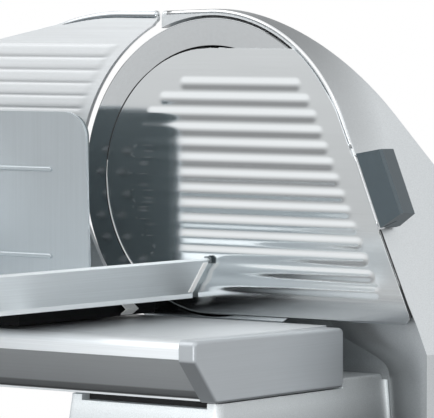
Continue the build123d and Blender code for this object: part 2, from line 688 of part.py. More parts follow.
# drive
with BuildPart() as motor_bracket:
    with BuildSketch(front(MOTOR_FRONT)):
        with Locations((MOTOR_SPOT[0], (BASE_TOP + MOTOR_SPOT[1] + 46) / 2)):
            Rectangle(96, MOTOR_SPOT[1] + 46 - BASE_TOP)
        with Locations(MOTOR_SPOT):
            Circle(10, mode=Mode.SUBTRACT)
        with Locations(*motor_screw_spots):
            Circle(2.2, mode=Mode.SUBTRACT)
    extrude(amount=4)
    with BuildSketch(level(BASE_TOP)):
        with Locations((MOTOR_SPOT[0], 98)):
            Rectangle(96, 44)
    extrude(amount=4)
finish(motor_bracket, "motor_bracket")

with BuildPart() as motor:
    extrude(discs(front(MOTOR_BACK), [MOTOR_SPOT], MOTOR_R), amount=MOTOR_BACK - MOTOR_FRONT)
    fillet(motor.faces().sort_by(Axis.Y)[-1].edges(), 4)
    with BuildSketch(front(MOTOR_BACK + 1)):
        with Locations(MOTOR_SPOT):
            with PolarLocations(MOTOR_R + 0.5, 16):
                Rectangle(5, 5)
    extrude(amount=36, mode=Mode.SUBTRACT)
    extrude(discs(front(MOTOR_BACK + 1), [MOTOR_SPOT], 7), amount=60, mode=Mode.SUBTRACT)
    extrude(discs(front(MOTOR_FRONT + 17), motor_screw_spots, 2), amount=20, mode=Mode.SUBTRACT)
finish(motor, "motor")
fasteners("motor_screws", front(MOTOR_FRONT - 4), motor_screw_spots, (4, 2.8), (1.9, 16), hexagon=True)

with BuildPart() as motor_shaft:
    extrude(discs(front(MOTOR_BACK - 3), [MOTOR_SPOT], 7 - SLIDE_FIT), amount=40)
    extrude(discs(front(MOTOR_FRONT - 2), [MOTOR_SPOT], MOTOR_SHAFT_R), amount=21)
finish(motor_shaft, "motor_shaft")


def grooved_pulley(name, radius, bore, spot):
    """Half section of a ribbed-belt pulley, turned about its own axis."""
    flange, ridges = 0.9, 5
    run = (BELT_Y1 - BELT_Y0 - 2 * flange) / ridges
    points = [(bore, BELT_Y0), (radius + 2, BELT_Y0), (radius + 2, BELT_Y0 + flange)]
    for ridge in range(ridges):
        points.append((radius, BELT_Y0 + flange + ridge * run))
        points.append((radius - 1.4, BELT_Y0 + flange + (ridge + 0.5) * run))
    points += [(radius, BELT_Y1 - flange), (radius + 2, BELT_Y1 - flange), (radius + 2, BELT_Y1),
               (bore, BELT_Y1)]
    middle = (BLADE_X + spot[0], BLADE_Y, BLADE_Z + spot[1])
    with BuildPart() as pulley:
        with BuildSketch(Plane(origin=middle)):
            Polygon(*points, align=None)
        revolve(axis=Axis(middle, (0, 1, 0)))
    finish(pulley, name)


grooved_pulley("motor_pulley", SMALL_PULLEY_R, MOTOR_SHAFT_R, MOTOR_SPOT)
grooved_pulley("blade_pulley", BIG_PULLEY_R, SHAFT_R, (0, 0))

with BuildPart() as drive_belt:
    with BuildSketch(front(BELT_Y1 - 1.2)):
        Circle(BIG_PULLEY_R + 3.3)
        with Locations(MOTOR_SPOT):
            Circle(SMALL_PULLEY_R + 3.3)
        make_hull()
    extrude(amount=BELT_Y1 - BELT_Y0 - 2.4)
    with BuildSketch(front(BELT_Y1)):
        Circle(BIG_PULLEY_R + 0.3)
        with Locations(MOTOR_SPOT):
            Circle(SMALL_PULLEY_R + 0.3)
        make_hull()
    extrude(amount=BELT_Y1 - BELT_Y0, mode=Mode.SUBTRACT)
finish(drive_belt, "drive_belt")

with BuildPart() as bearings:
    for bearing_y in (25.0, 51.5):
        with BuildSketch(front(bearing_y)):
            Circle(BEARING_R)
            Circle(SHAFT_R + TURN_FIT, mode=Mode.SUBTRACT)
        extrude(amount=11)
        for face_y in (bearing_y, bearing_y - 10):
            with BuildSketch(front(face_y)):
                Circle(14.6)
                Circle(10.4, mode=Mode.SUBTRACT)
            extrude(amount=1, mode=Mode.SUBTRACT)
finish(bearings, "bearings")

with BuildPart() as blade_shaft:
    extrude(discs(front(74), [(0, 0)], SHAFT_R), amount=70)
    extrude(discs(front(75), [(0, 0)], 5), amount=1)
finish(blade_shaft, "blade_shaft")

with BuildPart() as blade_hub:
    extrude(discs(front(11.2), [(0, 0)], HUB_R), amount=5.4)
    extrude(discs(front(6), [(0, 0)], 11.9), amount=2.6)
    extrude(discs(front(12), [(0, 0)], SHAFT_R), amount=12, mode=Mode.SUBTRACT)
    extrude(discs(front(12), blade_screw_spots, 2.5), amount=12, mode=Mode.SUBTRACT)
finish(blade_hub, "blade_hub")

# half section of the blade: flat middle, a set-back step under the cover's edge, then the ground ring
blade_front = [(12, 3.4), (88, 3.4), (95, 5.4), (RING_R - 1.7, 5.4), (RING_R, 0.5), (BLADE_R - 0.6, 0)]
blade_back = [(BLADE_R, 0.25), (116, 3.2), (RING_R + 2.2, 4.2), (RING_R - 0.3, 7.4), (94, 7.4), (88, 5.8),
              (12, 5.8)]
with BuildPart() as blade:
    with BuildSketch(level(0)):
        Polygon(*blade_front, *blade_back, align=None)
    revolve(axis=Axis((BLADE_X, BLADE_Y, BLADE_Z), (0, 1, 0)))
    extrude(discs(front(12), blade_screw_spots, 2.6), amount=14, mode=Mode.SUBTRACT)
finish(blade, "blade")

with BuildPart() as blade_screws:
    extrude(discs(front(3.4), blade_screw_spots, 5), amount=2.2)
    extrude(discs(front(10.6), blade_screw_spots, 2.45), amount=7.4)
    with BuildSketch(front(1.2)):
        with Locations(*blade_screw_spots):
            RegularPolygon(2, 6)
    extrude(amount=-1.4, mode=Mode.SUBTRACT)
finish(blade_screws, "blade_screws")

# blade cover and its grip
tilt_cos, tilt_sin = math.cos(math.radians(COVER_TILT)), math.sin(math.radians(COVER_TILT))
cover_touch = polar(COVER_OUT_R, COVER_TILT)
cover_low = on_edge(COVER_TILT, COVER_EDGE, (COVER_EDGE * tilt_sin + COVER_R) / tilt_cos)
cover_high = (math.sqrt(COVER_OUT_R ** 2 - COVER_TOP ** 2), COVER_TOP)
grip_tab = [on_edge(GRIP_TILT, *spot) for spot in ((120, 31), (134, 31), (150, 37), (150, 88), (120, 88))]


def cover_edge_x(z):
    """Right edge of the cover at a height."""
    if z > cover_touch[1]:
        return math.sqrt(COVER_OUT_R ** 2 - z ** 2)
    return (COVER_EDGE - z * tilt_sin) / tilt_cos


with BuildPart() as cover_plate:
    with BuildSketch(front(COVER_FRONT + COVER_THICK)):
        with BuildLine():
            Line((0, COVER_TOP), cover_high)
            ThreePointArc(cover_high, polar(COVER_OUT_R, 37), cover_touch)
            Polyline(cover_touch, on_edge(COVER_TILT, COVER_EDGE, 6), cover_low, (0, -COVER_R))
            ThreePointArc((0, -COVER_R), (-COVER_R, 0), (0, COVER_TOP))
        make_face()
        fillet(vertices().sort_by(Axis.X)[-1], COVER_CORNER)
        Polygon(*grip_tab, align=None)
    extrude(amount=COVER_THICK)
    with BuildSketch(front(COVER_FRONT)):
        for rib in range(RIB_COUNT):
            rib_z = RIB_TOP - rib * RIB_PITCH
            rib_left = -math.sqrt(RIB_ENDS_R ** 2 - rib_z ** 2)
            rib_right = cover_edge_x(rib_z) - RIB_MARGIN
            with Locations(((rib_left + rib_right) / 2, rib_z)):
                SlotOverall(rib_right - rib_left, RIB_WIDE)
    extrude(amount=RIB_RISE)
    fillet(cover_plate.faces().filter_by(Plane.XZ).group_by(Axis.Y)[0].edges(), RIB_RISE - 0.05)
    extrude(discs(front(COVER_FRONT + COVER_THICK), grip_screw_spots, 1.8), amount=COVER_THICK,
            mode=Mode.SUBTRACT)
finish(cover_plate, "cover_plate")

grip_start = on_edge(GRIP_TILT, 0, GRIP_START)
grip_out, grip_down = on_edge(GRIP_TILT, 1, 0), on_edge(GRIP_TILT, 0, 1)
grip_plane = Plane(origin=(BLADE_X + grip_start[0], BLADE_Y, BLADE_Z + grip_start[1]),
                   x_dir=(grip_out[0], 0, grip_out[1]), z_dir=(grip_down[0], 0, grip_down[1]))
grip_section = [(135.8, 3.1), (135.8, 4.2), (167, 20.2), (169.2, 18.8), (165.5, -1), (137, -20),
                (GRIP_INNER, -18), (GRIP_INNER, 1.4), (150.4, 1.4), (150.4, 3.1)]
grip_corner = on_edge(GRIP_TILT, GRIP_INNER, GRIP_START)
with BuildPart() as cover_grip:
    with BuildSketch(grip_plane):
        Polygon(*grip_section, align=None)
    extrude(amount=GRIP_LONG)
    with BuildSketch(front(30)):
        with Locations(grip_corner):
            Polygon((0, 0), (40, 40 * GRIP_TOP_SLOPE), (40, 30), (0, 30), align=None)
    extrude(amount=60, mode=Mode.SUBTRACT)
    extrude(discs(front(30), grip_screw_spots, 1.65), amount=36, mode=Mode.SUBTRACT)
    extrude(discs(front(30), grip_screw_spots, 3.4), amount=24, mode=Mode.SUBTRACT)
finish(cover_grip, "cover_grip")
fasteners("grip_screws", front(6.1), grip_screw_spots, (3.1, 2.4), (1.5, 11.1), out=-1, slot=(4, 0.9, 1))

with BuildPart() as cover_studs:
    extrude(discs(front(WELL_FLOOR + 4.8), stud_spots, 3), amount=WELL_FLOOR + 2.8)
    extrude(discs(front(3.4), stud_spots, 5.5), amount=2.2)
finish(cover_studs, "cover_studs")

# each hook slides under its stud's head from the lower side as the cover turns home
HOOK_BACK = 5.9
with BuildPart() as cover_hooks:
    for radius, angle in STUDS:
        extrude(arc_band(front(HOOK_BACK), radius, 7, angle - 4, angle + 6.5), amount=2)
        extrude(discs(front(HOOK_BACK + 0.1), [polar(radius, angle)], 3.5), amount=3, mode=Mode.SUBTRACT)
        extrude(arc_band(front(HOOK_BACK + 0.1), radius, 3.5, angle - 8, angle), amount=3, mode=Mode.SUBTRACT)
        extrude(discs(front(HOOK_BACK), [polar(radius, angle + 4.8)], 3.4),
                amount=HOOK_BACK - COVER_FRONT - COVER_THICK)
finish(cover_hooks, "cover_hooks")

# carriage
lip_foot = TRAY_RIGHT - 6
with BuildPart() as tray:
    with BuildSketch(level(TRAY_LOW)):
        with Locations(((TRAY_LEFT + TRAY_RIGHT) / 2, (TRAY_FRONT + TRAY_BACK) / 2)):
            Rectangle(TRAY_RIGHT - TRAY_LEFT, TRAY_BACK - TRAY_FRONT)
    extrude(amount=TRAY_FLOOR - TRAY_LOW)
    with BuildSketch(front(TRAY_BACK)):
        with BuildLine():
            Polyline((lip_foot, TRAY_LOW), (TRAY_RIGHT - 1.5, TRAY_LOW), (TRAY_RIGHT, TRAY_LOW + 3.6),
                     (LIP_OUT, LIP_TOP - 1.6))
            ThreePointArc((LIP_OUT, LIP_TOP - 1.6), (LIP_OUT - 1.6, LIP_TOP), (LIP_OUT - 3.6, LIP_TOP - 0.2))
            Polyline((LIP_OUT - 3.6, LIP_TOP - 0.2), (LIP_OUT - 4.6, LIP_TOP - 1.2), (lip_foot, TRAY_FLOOR),
                     (lip_foot, TRAY_LOW))
        make_face()
    extrude(amount=TRAY_BACK - TRAY_FRONT)
    with BuildSketch(front(TRAY_FRONT + 4)):
        Polygon((TRAY_LEFT, TRAY_LOW), (TRAY_RIGHT, TRAY_LOW), (LIP_OUT - 2, LIP_TOP - 1),
                (TRAY_LEFT, LIP_TOP - 1), align=None)
    extrude(amount=4)
finish(tray, "tray")

with BuildPart() as lip_cap:
    with BuildSketch(front(TRAY_BACK + 0.9)):
        with Locations((LIP_OUT, LIP_TOP)):
            Polygon((0.9, -4), (1.2, -0.4), (-1, 1.4), (-5, 1), (-7, -4), align=None)
    extrude(amount=0.9)
finish(lip_cap, "lip_cap")

with BuildPart() as fence:
    with BuildSketch(side(TRAY_LEFT - FENCE_THICK)):
        Polygon((TRAY_BACK - 6, TRAY_LOW), (TRAY_BACK - 6, -10), (TRAY_BACK - 30, FENCE_TOP),
                (-225, FENCE_TOP), (TRAY_FRONT, -40), (TRAY_FRONT, TRAY_LOW), align=None)
        fillet(vertices().group_by(Axis.Y)[-1], 14)
    extrude(amount=FENCE_THICK)
    extrude(discs(side(TRAY_LEFT - FENCE_THICK - 1), tray_screw_spots, 2.1), amount=7, mode=Mode.SUBTRACT)
finish(fence, "fence")

# the slider's front hooks round the nose of the beam
slider_hook = [(-170, -104.3), (-170, TRAY_LOW), (-193, TRAY_LOW), (-193, -125), (-185, -125), (-185, -119.1),
               (-187.6, -119.1), (-187.6, -109.6), (-186.4, -106.4), (-183.4, -104.8), (-178, -104.3)]
with BuildPart() as slider:
    with BuildSketch(level(SLIDER_LOW)):
        with Locations((-158.5, -96)):
            Rectangle(227, 164)
    extrude(amount=TRAY_LOW - SLIDER_LOW)
    with BuildSketch(side(-270)):
        Polygon(*slider_hook, align=None)
    extrude(amount=170)
finish(slider, "slider")

with BuildPart() as slide_pads:
    with BuildSketch(level(BEAM_TOP + 0.2)):
        with Locations(*[(x, y) for x in (-245, -112) for y in (-120, -26)]):
            RectangleRounded(36, 16, 3)
    extrude(amount=SLIDER_LOW - BEAM_TOP - 0.2)
finish(slide_pads, "slide_pads")

with BuildPart() as rod_holders:
    for holder_y in (-248.0, -18.5):
        with BuildSketch(front(holder_y + 6)):
            with Locations((ROD_SPOT[0] + 3, ROD_SPOT[1])):
                RectangleRounded(20, 22, 5)
        extrude(amount=12)
    extrude(discs(front(0), [ROD_SPOT], ROD_R), amount=270, mode=Mode.SUBTRACT)
finish(rod_holders, "rod_holders")

with BuildPart() as pusher_rod:
    extrude(discs(front(-12.5), [ROD_SPOT], ROD_R), amount=241.5)
finish(pusher_rod, "pusher_rod")

with BuildPart() as carriage_handle:
    extrude(discs(level(-86), [(-336, -215)], 11), amount=54)
    fillet(carriage_handle.edges().filter_by(GeomType.CIRCLE), 4)
    with BuildSketch(side(-338)):
        with Locations((-215, -76), (-215, -44)):
            RectangleRounded(13, 11, 3)
    extrude(amount=33)
finish(carriage_handle, "carriage_handle")
fasteners("tray_screws", side(TRAY_LEFT - FENCE_THICK), tray_screw_spots, (4, 2.2), (2, 8), out=-1)

# pusher
with BuildPart() as pusher_plate:
    with BuildSketch(front(PUSH_Y + PUSH_THICK)):
        Polygon((PUSH_LEFT, TRAY_FLOOR + 2), (PUSH_LEFT, PUSH_TOP), (PUSH_RIGHT - 2, PUSH_TOP),
                (PUSH_RIGHT + 2, TRAY_FLOOR + 2), align=None)
        fillet(vertices().group_by(Axis.Y)[-1], 21)
    extrude(amount=PUSH_THICK)
    with BuildSketch(front(PUSH_Y)):
        with Locations((-191, 8.5), (-191, -58.5)):
            SlotOverall(164, 3.4)
    extrude(amount=1.4)
    fillet(pusher_plate.faces().filter_by(Plane.XZ).group_by(Axis.Y)[0].edges(), 0.9)
finish(pusher_plate, "pusher_plate")

spike_spots = [(x + 5.5 * (row % 2), -66 + 17 * row) for row in range(6) for x in range(-259, -91, 22)]
pad_back = PUSH_Y + PUSH_THICK + PAD_THICK
with BuildPart() as pusher_pad:
    with BuildSketch(front(pad_back)):
        with Locations(((PUSH_LEFT + 15 + PUSH_RIGHT - 3.5) / 2, -15)):
            RectangleRounded(PUSH_RIGHT - 18.5 - PUSH_LEFT, 133, 18)
    extrude(amount=PAD_THICK)
    fillet(pusher_pad.faces().sort_by(Axis.Y)[-1].edges(), 1.2)
    extrude(discs(front(pad_back + 0.5), spike_spots, SPIKE_R), amount=4, mode=Mode.SUBTRACT)
finish(pusher_pad, "pusher_pad")

with BuildPart() as pusher_spikes:
    extrude(discs(front(pad_back - 3.5), spike_spots, SPIKE_R), amount=-3.5)
    with BuildSketch(front(pad_back)):
        with Locations(*spike_spots):
            Circle(3.2)
    extrude(amount=-7, taper=21)
finish(pusher_spikes, "pusher_spikes")

with BuildPart() as pusher_arm:
    with BuildSketch(front(PUSH_Y + 10)):
        with Locations((ROD_SPOT[0], 4)):
            RectangleRounded(22, 56, 6)
        with Locations((-301, KNOB_SPOT[1])):
            Rectangle(48, 14)
    extrude(amount=24)
    with BuildSketch(front(PUSH_Y - 14)):
        with Locations(ROD_SPOT):
            RectangleRounded(22, 20, 6)
    extrude(amount=26)
    with BuildSketch(front(PUSH_Y)):
        with Locations(KNOB_SPOT):
            RectangleRounded(26, 30, 4)
    extrude(amount=12)
    with BuildSketch(front(PUSH_Y + 12)):
        with Locations(KNOB_SPOT):
            Rectangle(40, 60)
    extrude(amount=12, mode=Mode.SUBTRACT)
    extrude(discs(front(0), [ROD_SPOT], ROD_R + SLIDE_FIT), amount=200, mode=Mode.SUBTRACT)
finish(pusher_arm, "pusher_arm")

with BuildPart() as pusher_knob:
    extrude(discs(front(PUSH_Y - 14), [KNOB_SPOT], 7), amount=6)
    with BuildSketch(front(PUSH_Y - 18)):
        with Locations(KNOB_SPOT):
            Circle(15)
    extrude(amount=24, taper=-4)
    fillet(pusher_knob.faces().sort_by(Axis.Y)[0].edges(), 5)
finish(pusher_knob, "pusher_knob")

with BuildPart() as pusher_screws:
    extrude(discs(front(PUSH_Y + PUSH_THICK), pusher_screw_spots, 3.4), amount=-2)
finish(pusher_screws, "pusher_screws")
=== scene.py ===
"""Looks of the food slicer: finishes for every part, pressed sheet-metal plates, studio and camera.

The frame is in metres. Shapes that repeat a CAD size are written here in millimetres from the middle
of the blade, with X along the carriage travel, Y toward the back and Z up.
"""
import json
import math

import bpy
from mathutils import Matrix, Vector, noise


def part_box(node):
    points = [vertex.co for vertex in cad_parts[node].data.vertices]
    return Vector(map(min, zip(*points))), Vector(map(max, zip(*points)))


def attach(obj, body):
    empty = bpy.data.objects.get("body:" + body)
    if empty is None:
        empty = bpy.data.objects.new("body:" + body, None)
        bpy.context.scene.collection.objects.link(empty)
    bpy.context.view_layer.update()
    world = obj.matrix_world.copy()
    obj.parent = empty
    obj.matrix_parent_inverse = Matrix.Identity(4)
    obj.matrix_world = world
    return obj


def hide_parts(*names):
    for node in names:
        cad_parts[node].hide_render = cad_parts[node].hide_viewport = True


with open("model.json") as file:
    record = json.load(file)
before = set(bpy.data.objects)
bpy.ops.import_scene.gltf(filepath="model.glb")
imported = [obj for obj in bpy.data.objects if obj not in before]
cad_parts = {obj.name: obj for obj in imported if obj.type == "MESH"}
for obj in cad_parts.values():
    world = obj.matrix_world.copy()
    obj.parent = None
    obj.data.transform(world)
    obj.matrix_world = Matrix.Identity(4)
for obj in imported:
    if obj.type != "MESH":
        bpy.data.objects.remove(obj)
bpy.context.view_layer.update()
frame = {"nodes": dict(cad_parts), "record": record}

MM = 0.001

blade_low, blade_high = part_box("blade")
BLADE_MID = Vector(((blade_low.x + blade_high.x) / 2, blade_low.y, (blade_low.z + blade_high.z) / 2))


def place(x, y, z):
    """Point in metres of a place given in millimetres from the middle of the blade."""
    return BLADE_MID + Vector((x, y, z)) * MM


# Camera: the photograph's frame and where the middle of the blade sits in it
PHOTO_WIDE, PHOTO_HIGH = 434, 418
BLADE_PX, BLADE_PY = 212.9, 181.2
FOCAL_PX = 4000.0
VIEW_YAW = math.radians(37.2)
VIEW_DROP = math.radians(2.5)
VIEW_FAR = 3.067
SENSOR_MM = 36.0

forward = Vector((-math.sin(VIEW_YAW) * math.cos(VIEW_DROP),
                  math.cos(VIEW_YAW) * math.cos(VIEW_DROP),
                  -math.sin(VIEW_DROP)))
camera_data = bpy.data.cameras.new("camera")
camera_data.sensor_width = SENSOR_MM
camera_data.lens = FOCAL_PX / PHOTO_WIDE * SENSOR_MM
camera_data.shift_x = (PHOTO_WIDE / 2 - BLADE_PX) / PHOTO_WIDE
camera_data.shift_y = (BLADE_PY - PHOTO_HIGH / 2) / PHOTO_WIDE
camera_data.clip_end = 60.0
camera = bpy.data.objects.new("camera", camera_data)
camera.location = BLADE_MID - forward * VIEW_FAR
camera.rotation_mode = "QUATERNION"
camera.rotation_quaternion = forward.to_track_quat("-Z", "Y")
bpy.context.scene.collection.objects.link(camera)
bpy.context.scene.camera = camera
bpy.context.scene.view_settings.view_transform = "Standard"


# Studio: world light, softboxes and floor
def studio_world():
    """White behind the object and overhead; on the food side grey low down, rising to white."""
    world = bpy.data.worlds.new("studio")
    bpy.context.scene.world = world
    world.use_nodes = True
    tree = world.node_tree
    coords = tree.nodes.new("ShaderNodeTexCoord")
    split = tree.nodes.new("ShaderNodeSeparateXYZ")
    tree.links.new(coords.outputs["Generated"], split.inputs[0])

    def grey_steps(axis, stops):
        """Grey levels along one axis of the view direction."""
        shift = tree.nodes.new("ShaderNodeMapRange")
        shift.inputs["From Min"].default_value = -1.0
        shift.inputs["From Max"].default_value = 1.0
        tree.links.new(split.outputs[axis], shift.inputs["Value"])
        ramp = tree.nodes.new("ShaderNodeValToRGB")
        ramp.color_ramp.interpolation = "LINEAR"
        elements = ramp.color_ramp.elements
        while len(elements) < len(stops):
            elements.new(0.5)
        for element, (spot, level) in zip(elements, stops):
            element.position = (spot + 1) / 2
            element.color = (level, level, level, 1.0)
        tree.links.new(shift.outputs["Result"], ramp.inputs["Fac"])
        return ramp.outputs["Color"]

    def blend(factor, a, b):
        node = tree.nodes.new("ShaderNodeMixRGB")
        for source, socket in ((factor, "Fac"), (a, "Color1"), (b, "Color2")):
            tree.links.new(source, node.inputs[socket])
        return node.outputs["Color"]

    food_side = grey_steps("Z", FOOD_SIDE_LEVELS)
    back_left = grey_steps("Z", BACK_LEFT_LEVELS)
    back_right = grey_steps("Z", BACK_RIGHT_LEVELS)
    behind = blend(grey_steps("X", ((-0.15, 0.0), (0.5, 1.0))), back_left, back_right)
    level = blend(grey_steps("Y", ((-0.2, 0.0), (0.35, 1.0))), food_side, behind)
    tree.links.new(level, tree.nodes["Background"].inputs["Color"])


# level of the studio at heights of the view direction, from straight down (-1) to straight up (1)
FOOD_SIDE_LEVELS = ((-0.6, 0.2), (-0.15, 0.32), (-0.044, 0.66), (0.08, 1.08), (0.9, 1.0))
BACK_LEFT_LEVELS = ((-0.5, 0.7), (-0.12, 1.0), (0.12, 1.0), (0.34, 0.24), (0.62, 0.28), (0.95, 0.9))
BACK_RIGHT_LEVELS = ((-0.5, 0.4), (-0.1, 0.6), (0.2, 0.85), (0.45, 1.0), (0.95, 1.0))
studio_world()


def softbox(name, spot, aim, wide, high, watts):
    """A rectangular soft lamp at a spot, turned to a point."""
    lamp = bpy.data.lights.new(name, "AREA")
    lamp.shape = "RECTANGLE"
    lamp.size = wide
    lamp.size_y = high
    lamp.energy = watts
    holder = bpy.data.objects.new(name, lamp)
    holder.location = spot
    holder.rotation_mode = "QUATERNION"
    holder.rotation_quaternion = (Vector(aim) - Vector(spot)).to_track_quat("-Z", "Y")
    bpy.context.scene.collection.objects.link(holder)


softbox("key_softbox", (-1.15, -0.9, 1.4), (0.05, 0.0, 0.15), 1.6, 1.2, 11.0)
softbox("front_softbox", (0.2, -1.4, 1.5), (0.1, 0.0, 0.1), 1.0, 0.8, 2.0)
softbox("low_softbox", (0.55, -1.35, 0.12), (0.1, -0.1, 0.1), 0.5, 0.25, 4.6)
softbox("side_softbox", (1.9, 0.5, 1.0), (0.1, 0.1, 0.2), 0.9, 1.2, 3.0)
softbox("rim_softbox", (1.25, -0.92, 1.16), (0.1, 0.05, 0.26), 0.8, 0.8, 3.0)


# Finishes
# the part of a noise's range that the roughness and the tint are spread over
GRAIN_LOW, GRAIN_HIGH = 0.3, 0.7
TINT_LOW, TINT_HIGH = 0.32, 0.68


class Finish:
    """A Principled material and the node chains that the finishes share."""

    def __init__(self, name, values):
        self.material = bpy.data.materials.new(name)
        self.material.use_nodes = True
        self.tree = self.material.node_tree
        self.shader = self.tree.nodes["Principled BSDF"]
        for socket, value in values.items():
            self.shader.inputs[socket].default_value = value
        coords = self.tree.nodes.new("ShaderNodeTexCoord")
        self.coords = coords.outputs["Object"]

    def grain(self, scale, stretch=(1, 1, 1), detail=3.0, soften=0.5):
        """Noise of that many cells a metre, drawn out along an axis by a small stretch value."""
        mapping = self.tree.nodes.new("ShaderNodeMapping")
        mapping.inputs["Scale"].default_value = stretch
        self.tree.links.new(self.coords, mapping.inputs["Vector"])
        texture = self.tree.nodes.new("ShaderNodeTexNoise")
        texture.inputs["Scale"].default_value = scale
        texture.inputs["Detail"].default_value = detail
        texture.inputs["Roughness"].default_value = soften
        self.tree.links.new(mapping.outputs["Vector"], texture.inputs["Vector"])
        return texture.outputs["Fac"]

    def spread(self, source, low, high):
        """Roughness between two values along a noise."""
        node = self.tree.nodes.new("ShaderNodeMapRange")
        node.inputs["From Min"].default_value = GRAIN_LOW
        node.inputs["From Max"].default_value = GRAIN_HIGH
        node.inputs["To Min"].default_value = low
        node.inputs["To Max"].default_value = high
        self.tree.links.new(source, node.inputs["Value"])
        self.tree.links.new(node.outputs["Result"], self.shader.inputs["Roughness"])
        return self

    def tint(self, source, dark, light):
        """Base colour between two colours along a noise."""
        node = self.tree.nodes.new("ShaderNodeValToRGB")
        node.color_ramp.elements[0].position = TINT_LOW
        node.color_ramp.elements[0].color = (*dark, 1.0)
        node.color_ramp.elements[1].position = TINT_HIGH
        node.color_ramp.elements[1].color = (*light, 1.0)
        self.tree.links.new(source, node.inputs["Fac"])
        self.tree.links.new(node.outputs["Color"], self.shader.inputs["Base Color"])
        return self

    def share(self, source, low, high, clamp=True):
        """Where a value lies between two others, 0 to 1."""
        node = self.tree.nodes.new("ShaderNodeMapRange")
        node.clamp = clamp
        node.inputs["From Min"].default_value = low
        node.inputs["From Max"].default_value = high
        self.tree.links.new(source, node.inputs["Value"])
        return node.outputs["Result"]

    def height(self, low, high):
        """Where a point's height lies between two levels, 0 to 1."""
        split = self.tree.nodes.new("ShaderNodeSeparateXYZ")
        self.tree.links.new(self.coords, split.inputs[0])
        return self.share(split.outputs["Z"], low, high)

    def between(self, levels):
        """The same for two levels in millimetres from the middle of the blade."""
        return self.height(*(place(0, 0, level).z for level in levels))

    def from_blade(self):
        """Distance from the middle of the blade."""
        node = self.tree.nodes.new("ShaderNodeVectorMath")
        node.operation = "DISTANCE"
        node.inputs[1].default_value = BLADE_MID
        self.tree.links.new(self.coords, node.inputs[0])
        return node.outputs["Value"]

    def facing(self, axis, low, high):
        """Where a face's direction along an axis lies between two values, 0 to 1."""
        surface = self.tree.nodes.new("ShaderNodeNewGeometry")
        split = self.tree.nodes.new("ShaderNodeSeparateXYZ")
        self.tree.links.new(surface.outputs["Normal"], split.inputs[0])
        return self.share(split.outputs[axis], low, high)

    def maths(self, operation, *sources):
        """One sum on the values given."""
        node = self.tree.nodes.new("ShaderNodeMath")
        node.operation = operation
        for source, socket in zip(sources, node.inputs):
            self.tree.links.new(source, socket)
        return node.outputs["Value"]

    def deepen(self, source, stops, where=None):
        """Multiplies the base colour by greys along a value, everywhere or where another value is 1."""
        ramp = self.tree.nodes.new("ShaderNodeValToRGB")
        elements = ramp.color_ramp.elements
        while len(elements) < len(stops):
            elements.new(0.5)
        for element, (spot, level) in zip(elements, stops):
            element.position = spot
            element.color = (level, level, level, 1.0)
        self.tree.links.new(source, ramp.inputs["Fac"])
        mix = self.tree.nodes.new("ShaderNodeMixRGB")
        mix.blend_type = "MULTIPLY"
        mix.inputs["Fac"].default_value = 1.0
        if where is not None:
            self.tree.links.new(where, mix.inputs["Fac"])
        self.tree.links.new(self.shader.inputs["Base Color"].links[0].from_socket, mix.inputs["Color1"])
        self.tree.links.new(ramp.outputs["Color"], mix.inputs["Color2"])
        self.tree.links.new(mix.outputs["Color"], self.shader.inputs["Base Color"])
        return self

    def bump(self, source, depth_mm, strength):
        """Fine relief along a noise."""
        node = self.tree.nodes.new("ShaderNodeBump")
        node.inputs["Strength"].default_value = strength
        node.inputs["Distance"].default_value = depth_mm * MM
        self.tree.links.new(source, node.inputs["Height"])
        self.tree.links.new(node.outputs["Normal"], self.shader.inputs["Normal"])
        return self


# deeper tones, as shares of the colour: painted shade, except the darker ring at the blade's edge
HOLLOW_PAINTED_SHADE = 0.42
RIM_PAINTED_SHADE = 0.74
PAINT_FOOT_PAINTED_SHADE = 0.58
UNDERSIDE_PAINTED_SHADE = 0.4
BLADE_EDGE_DARK_TONE = 0.3
SHEET_FOOT_PAINTED_SHADE = 0.56
# where they lie: distances from the middle of the blade, then heights above it
RIM_SHADE_BAND = (132.0, 141.0)
BLADE_EDGE_DARK_R = 124.3
BLADE_EDGE_DARK_EASE = 0.2
HOUSING_SHADED_HOLLOW = (-84.0, -100.0)
PEDESTAL_SHADED_FOOT = (-160.0, -186.0)
COVER_SHADED_FOOT = (-80.0, -92.0)


def shade(colour, factor):
    return tuple(channel * factor for channel in colour)


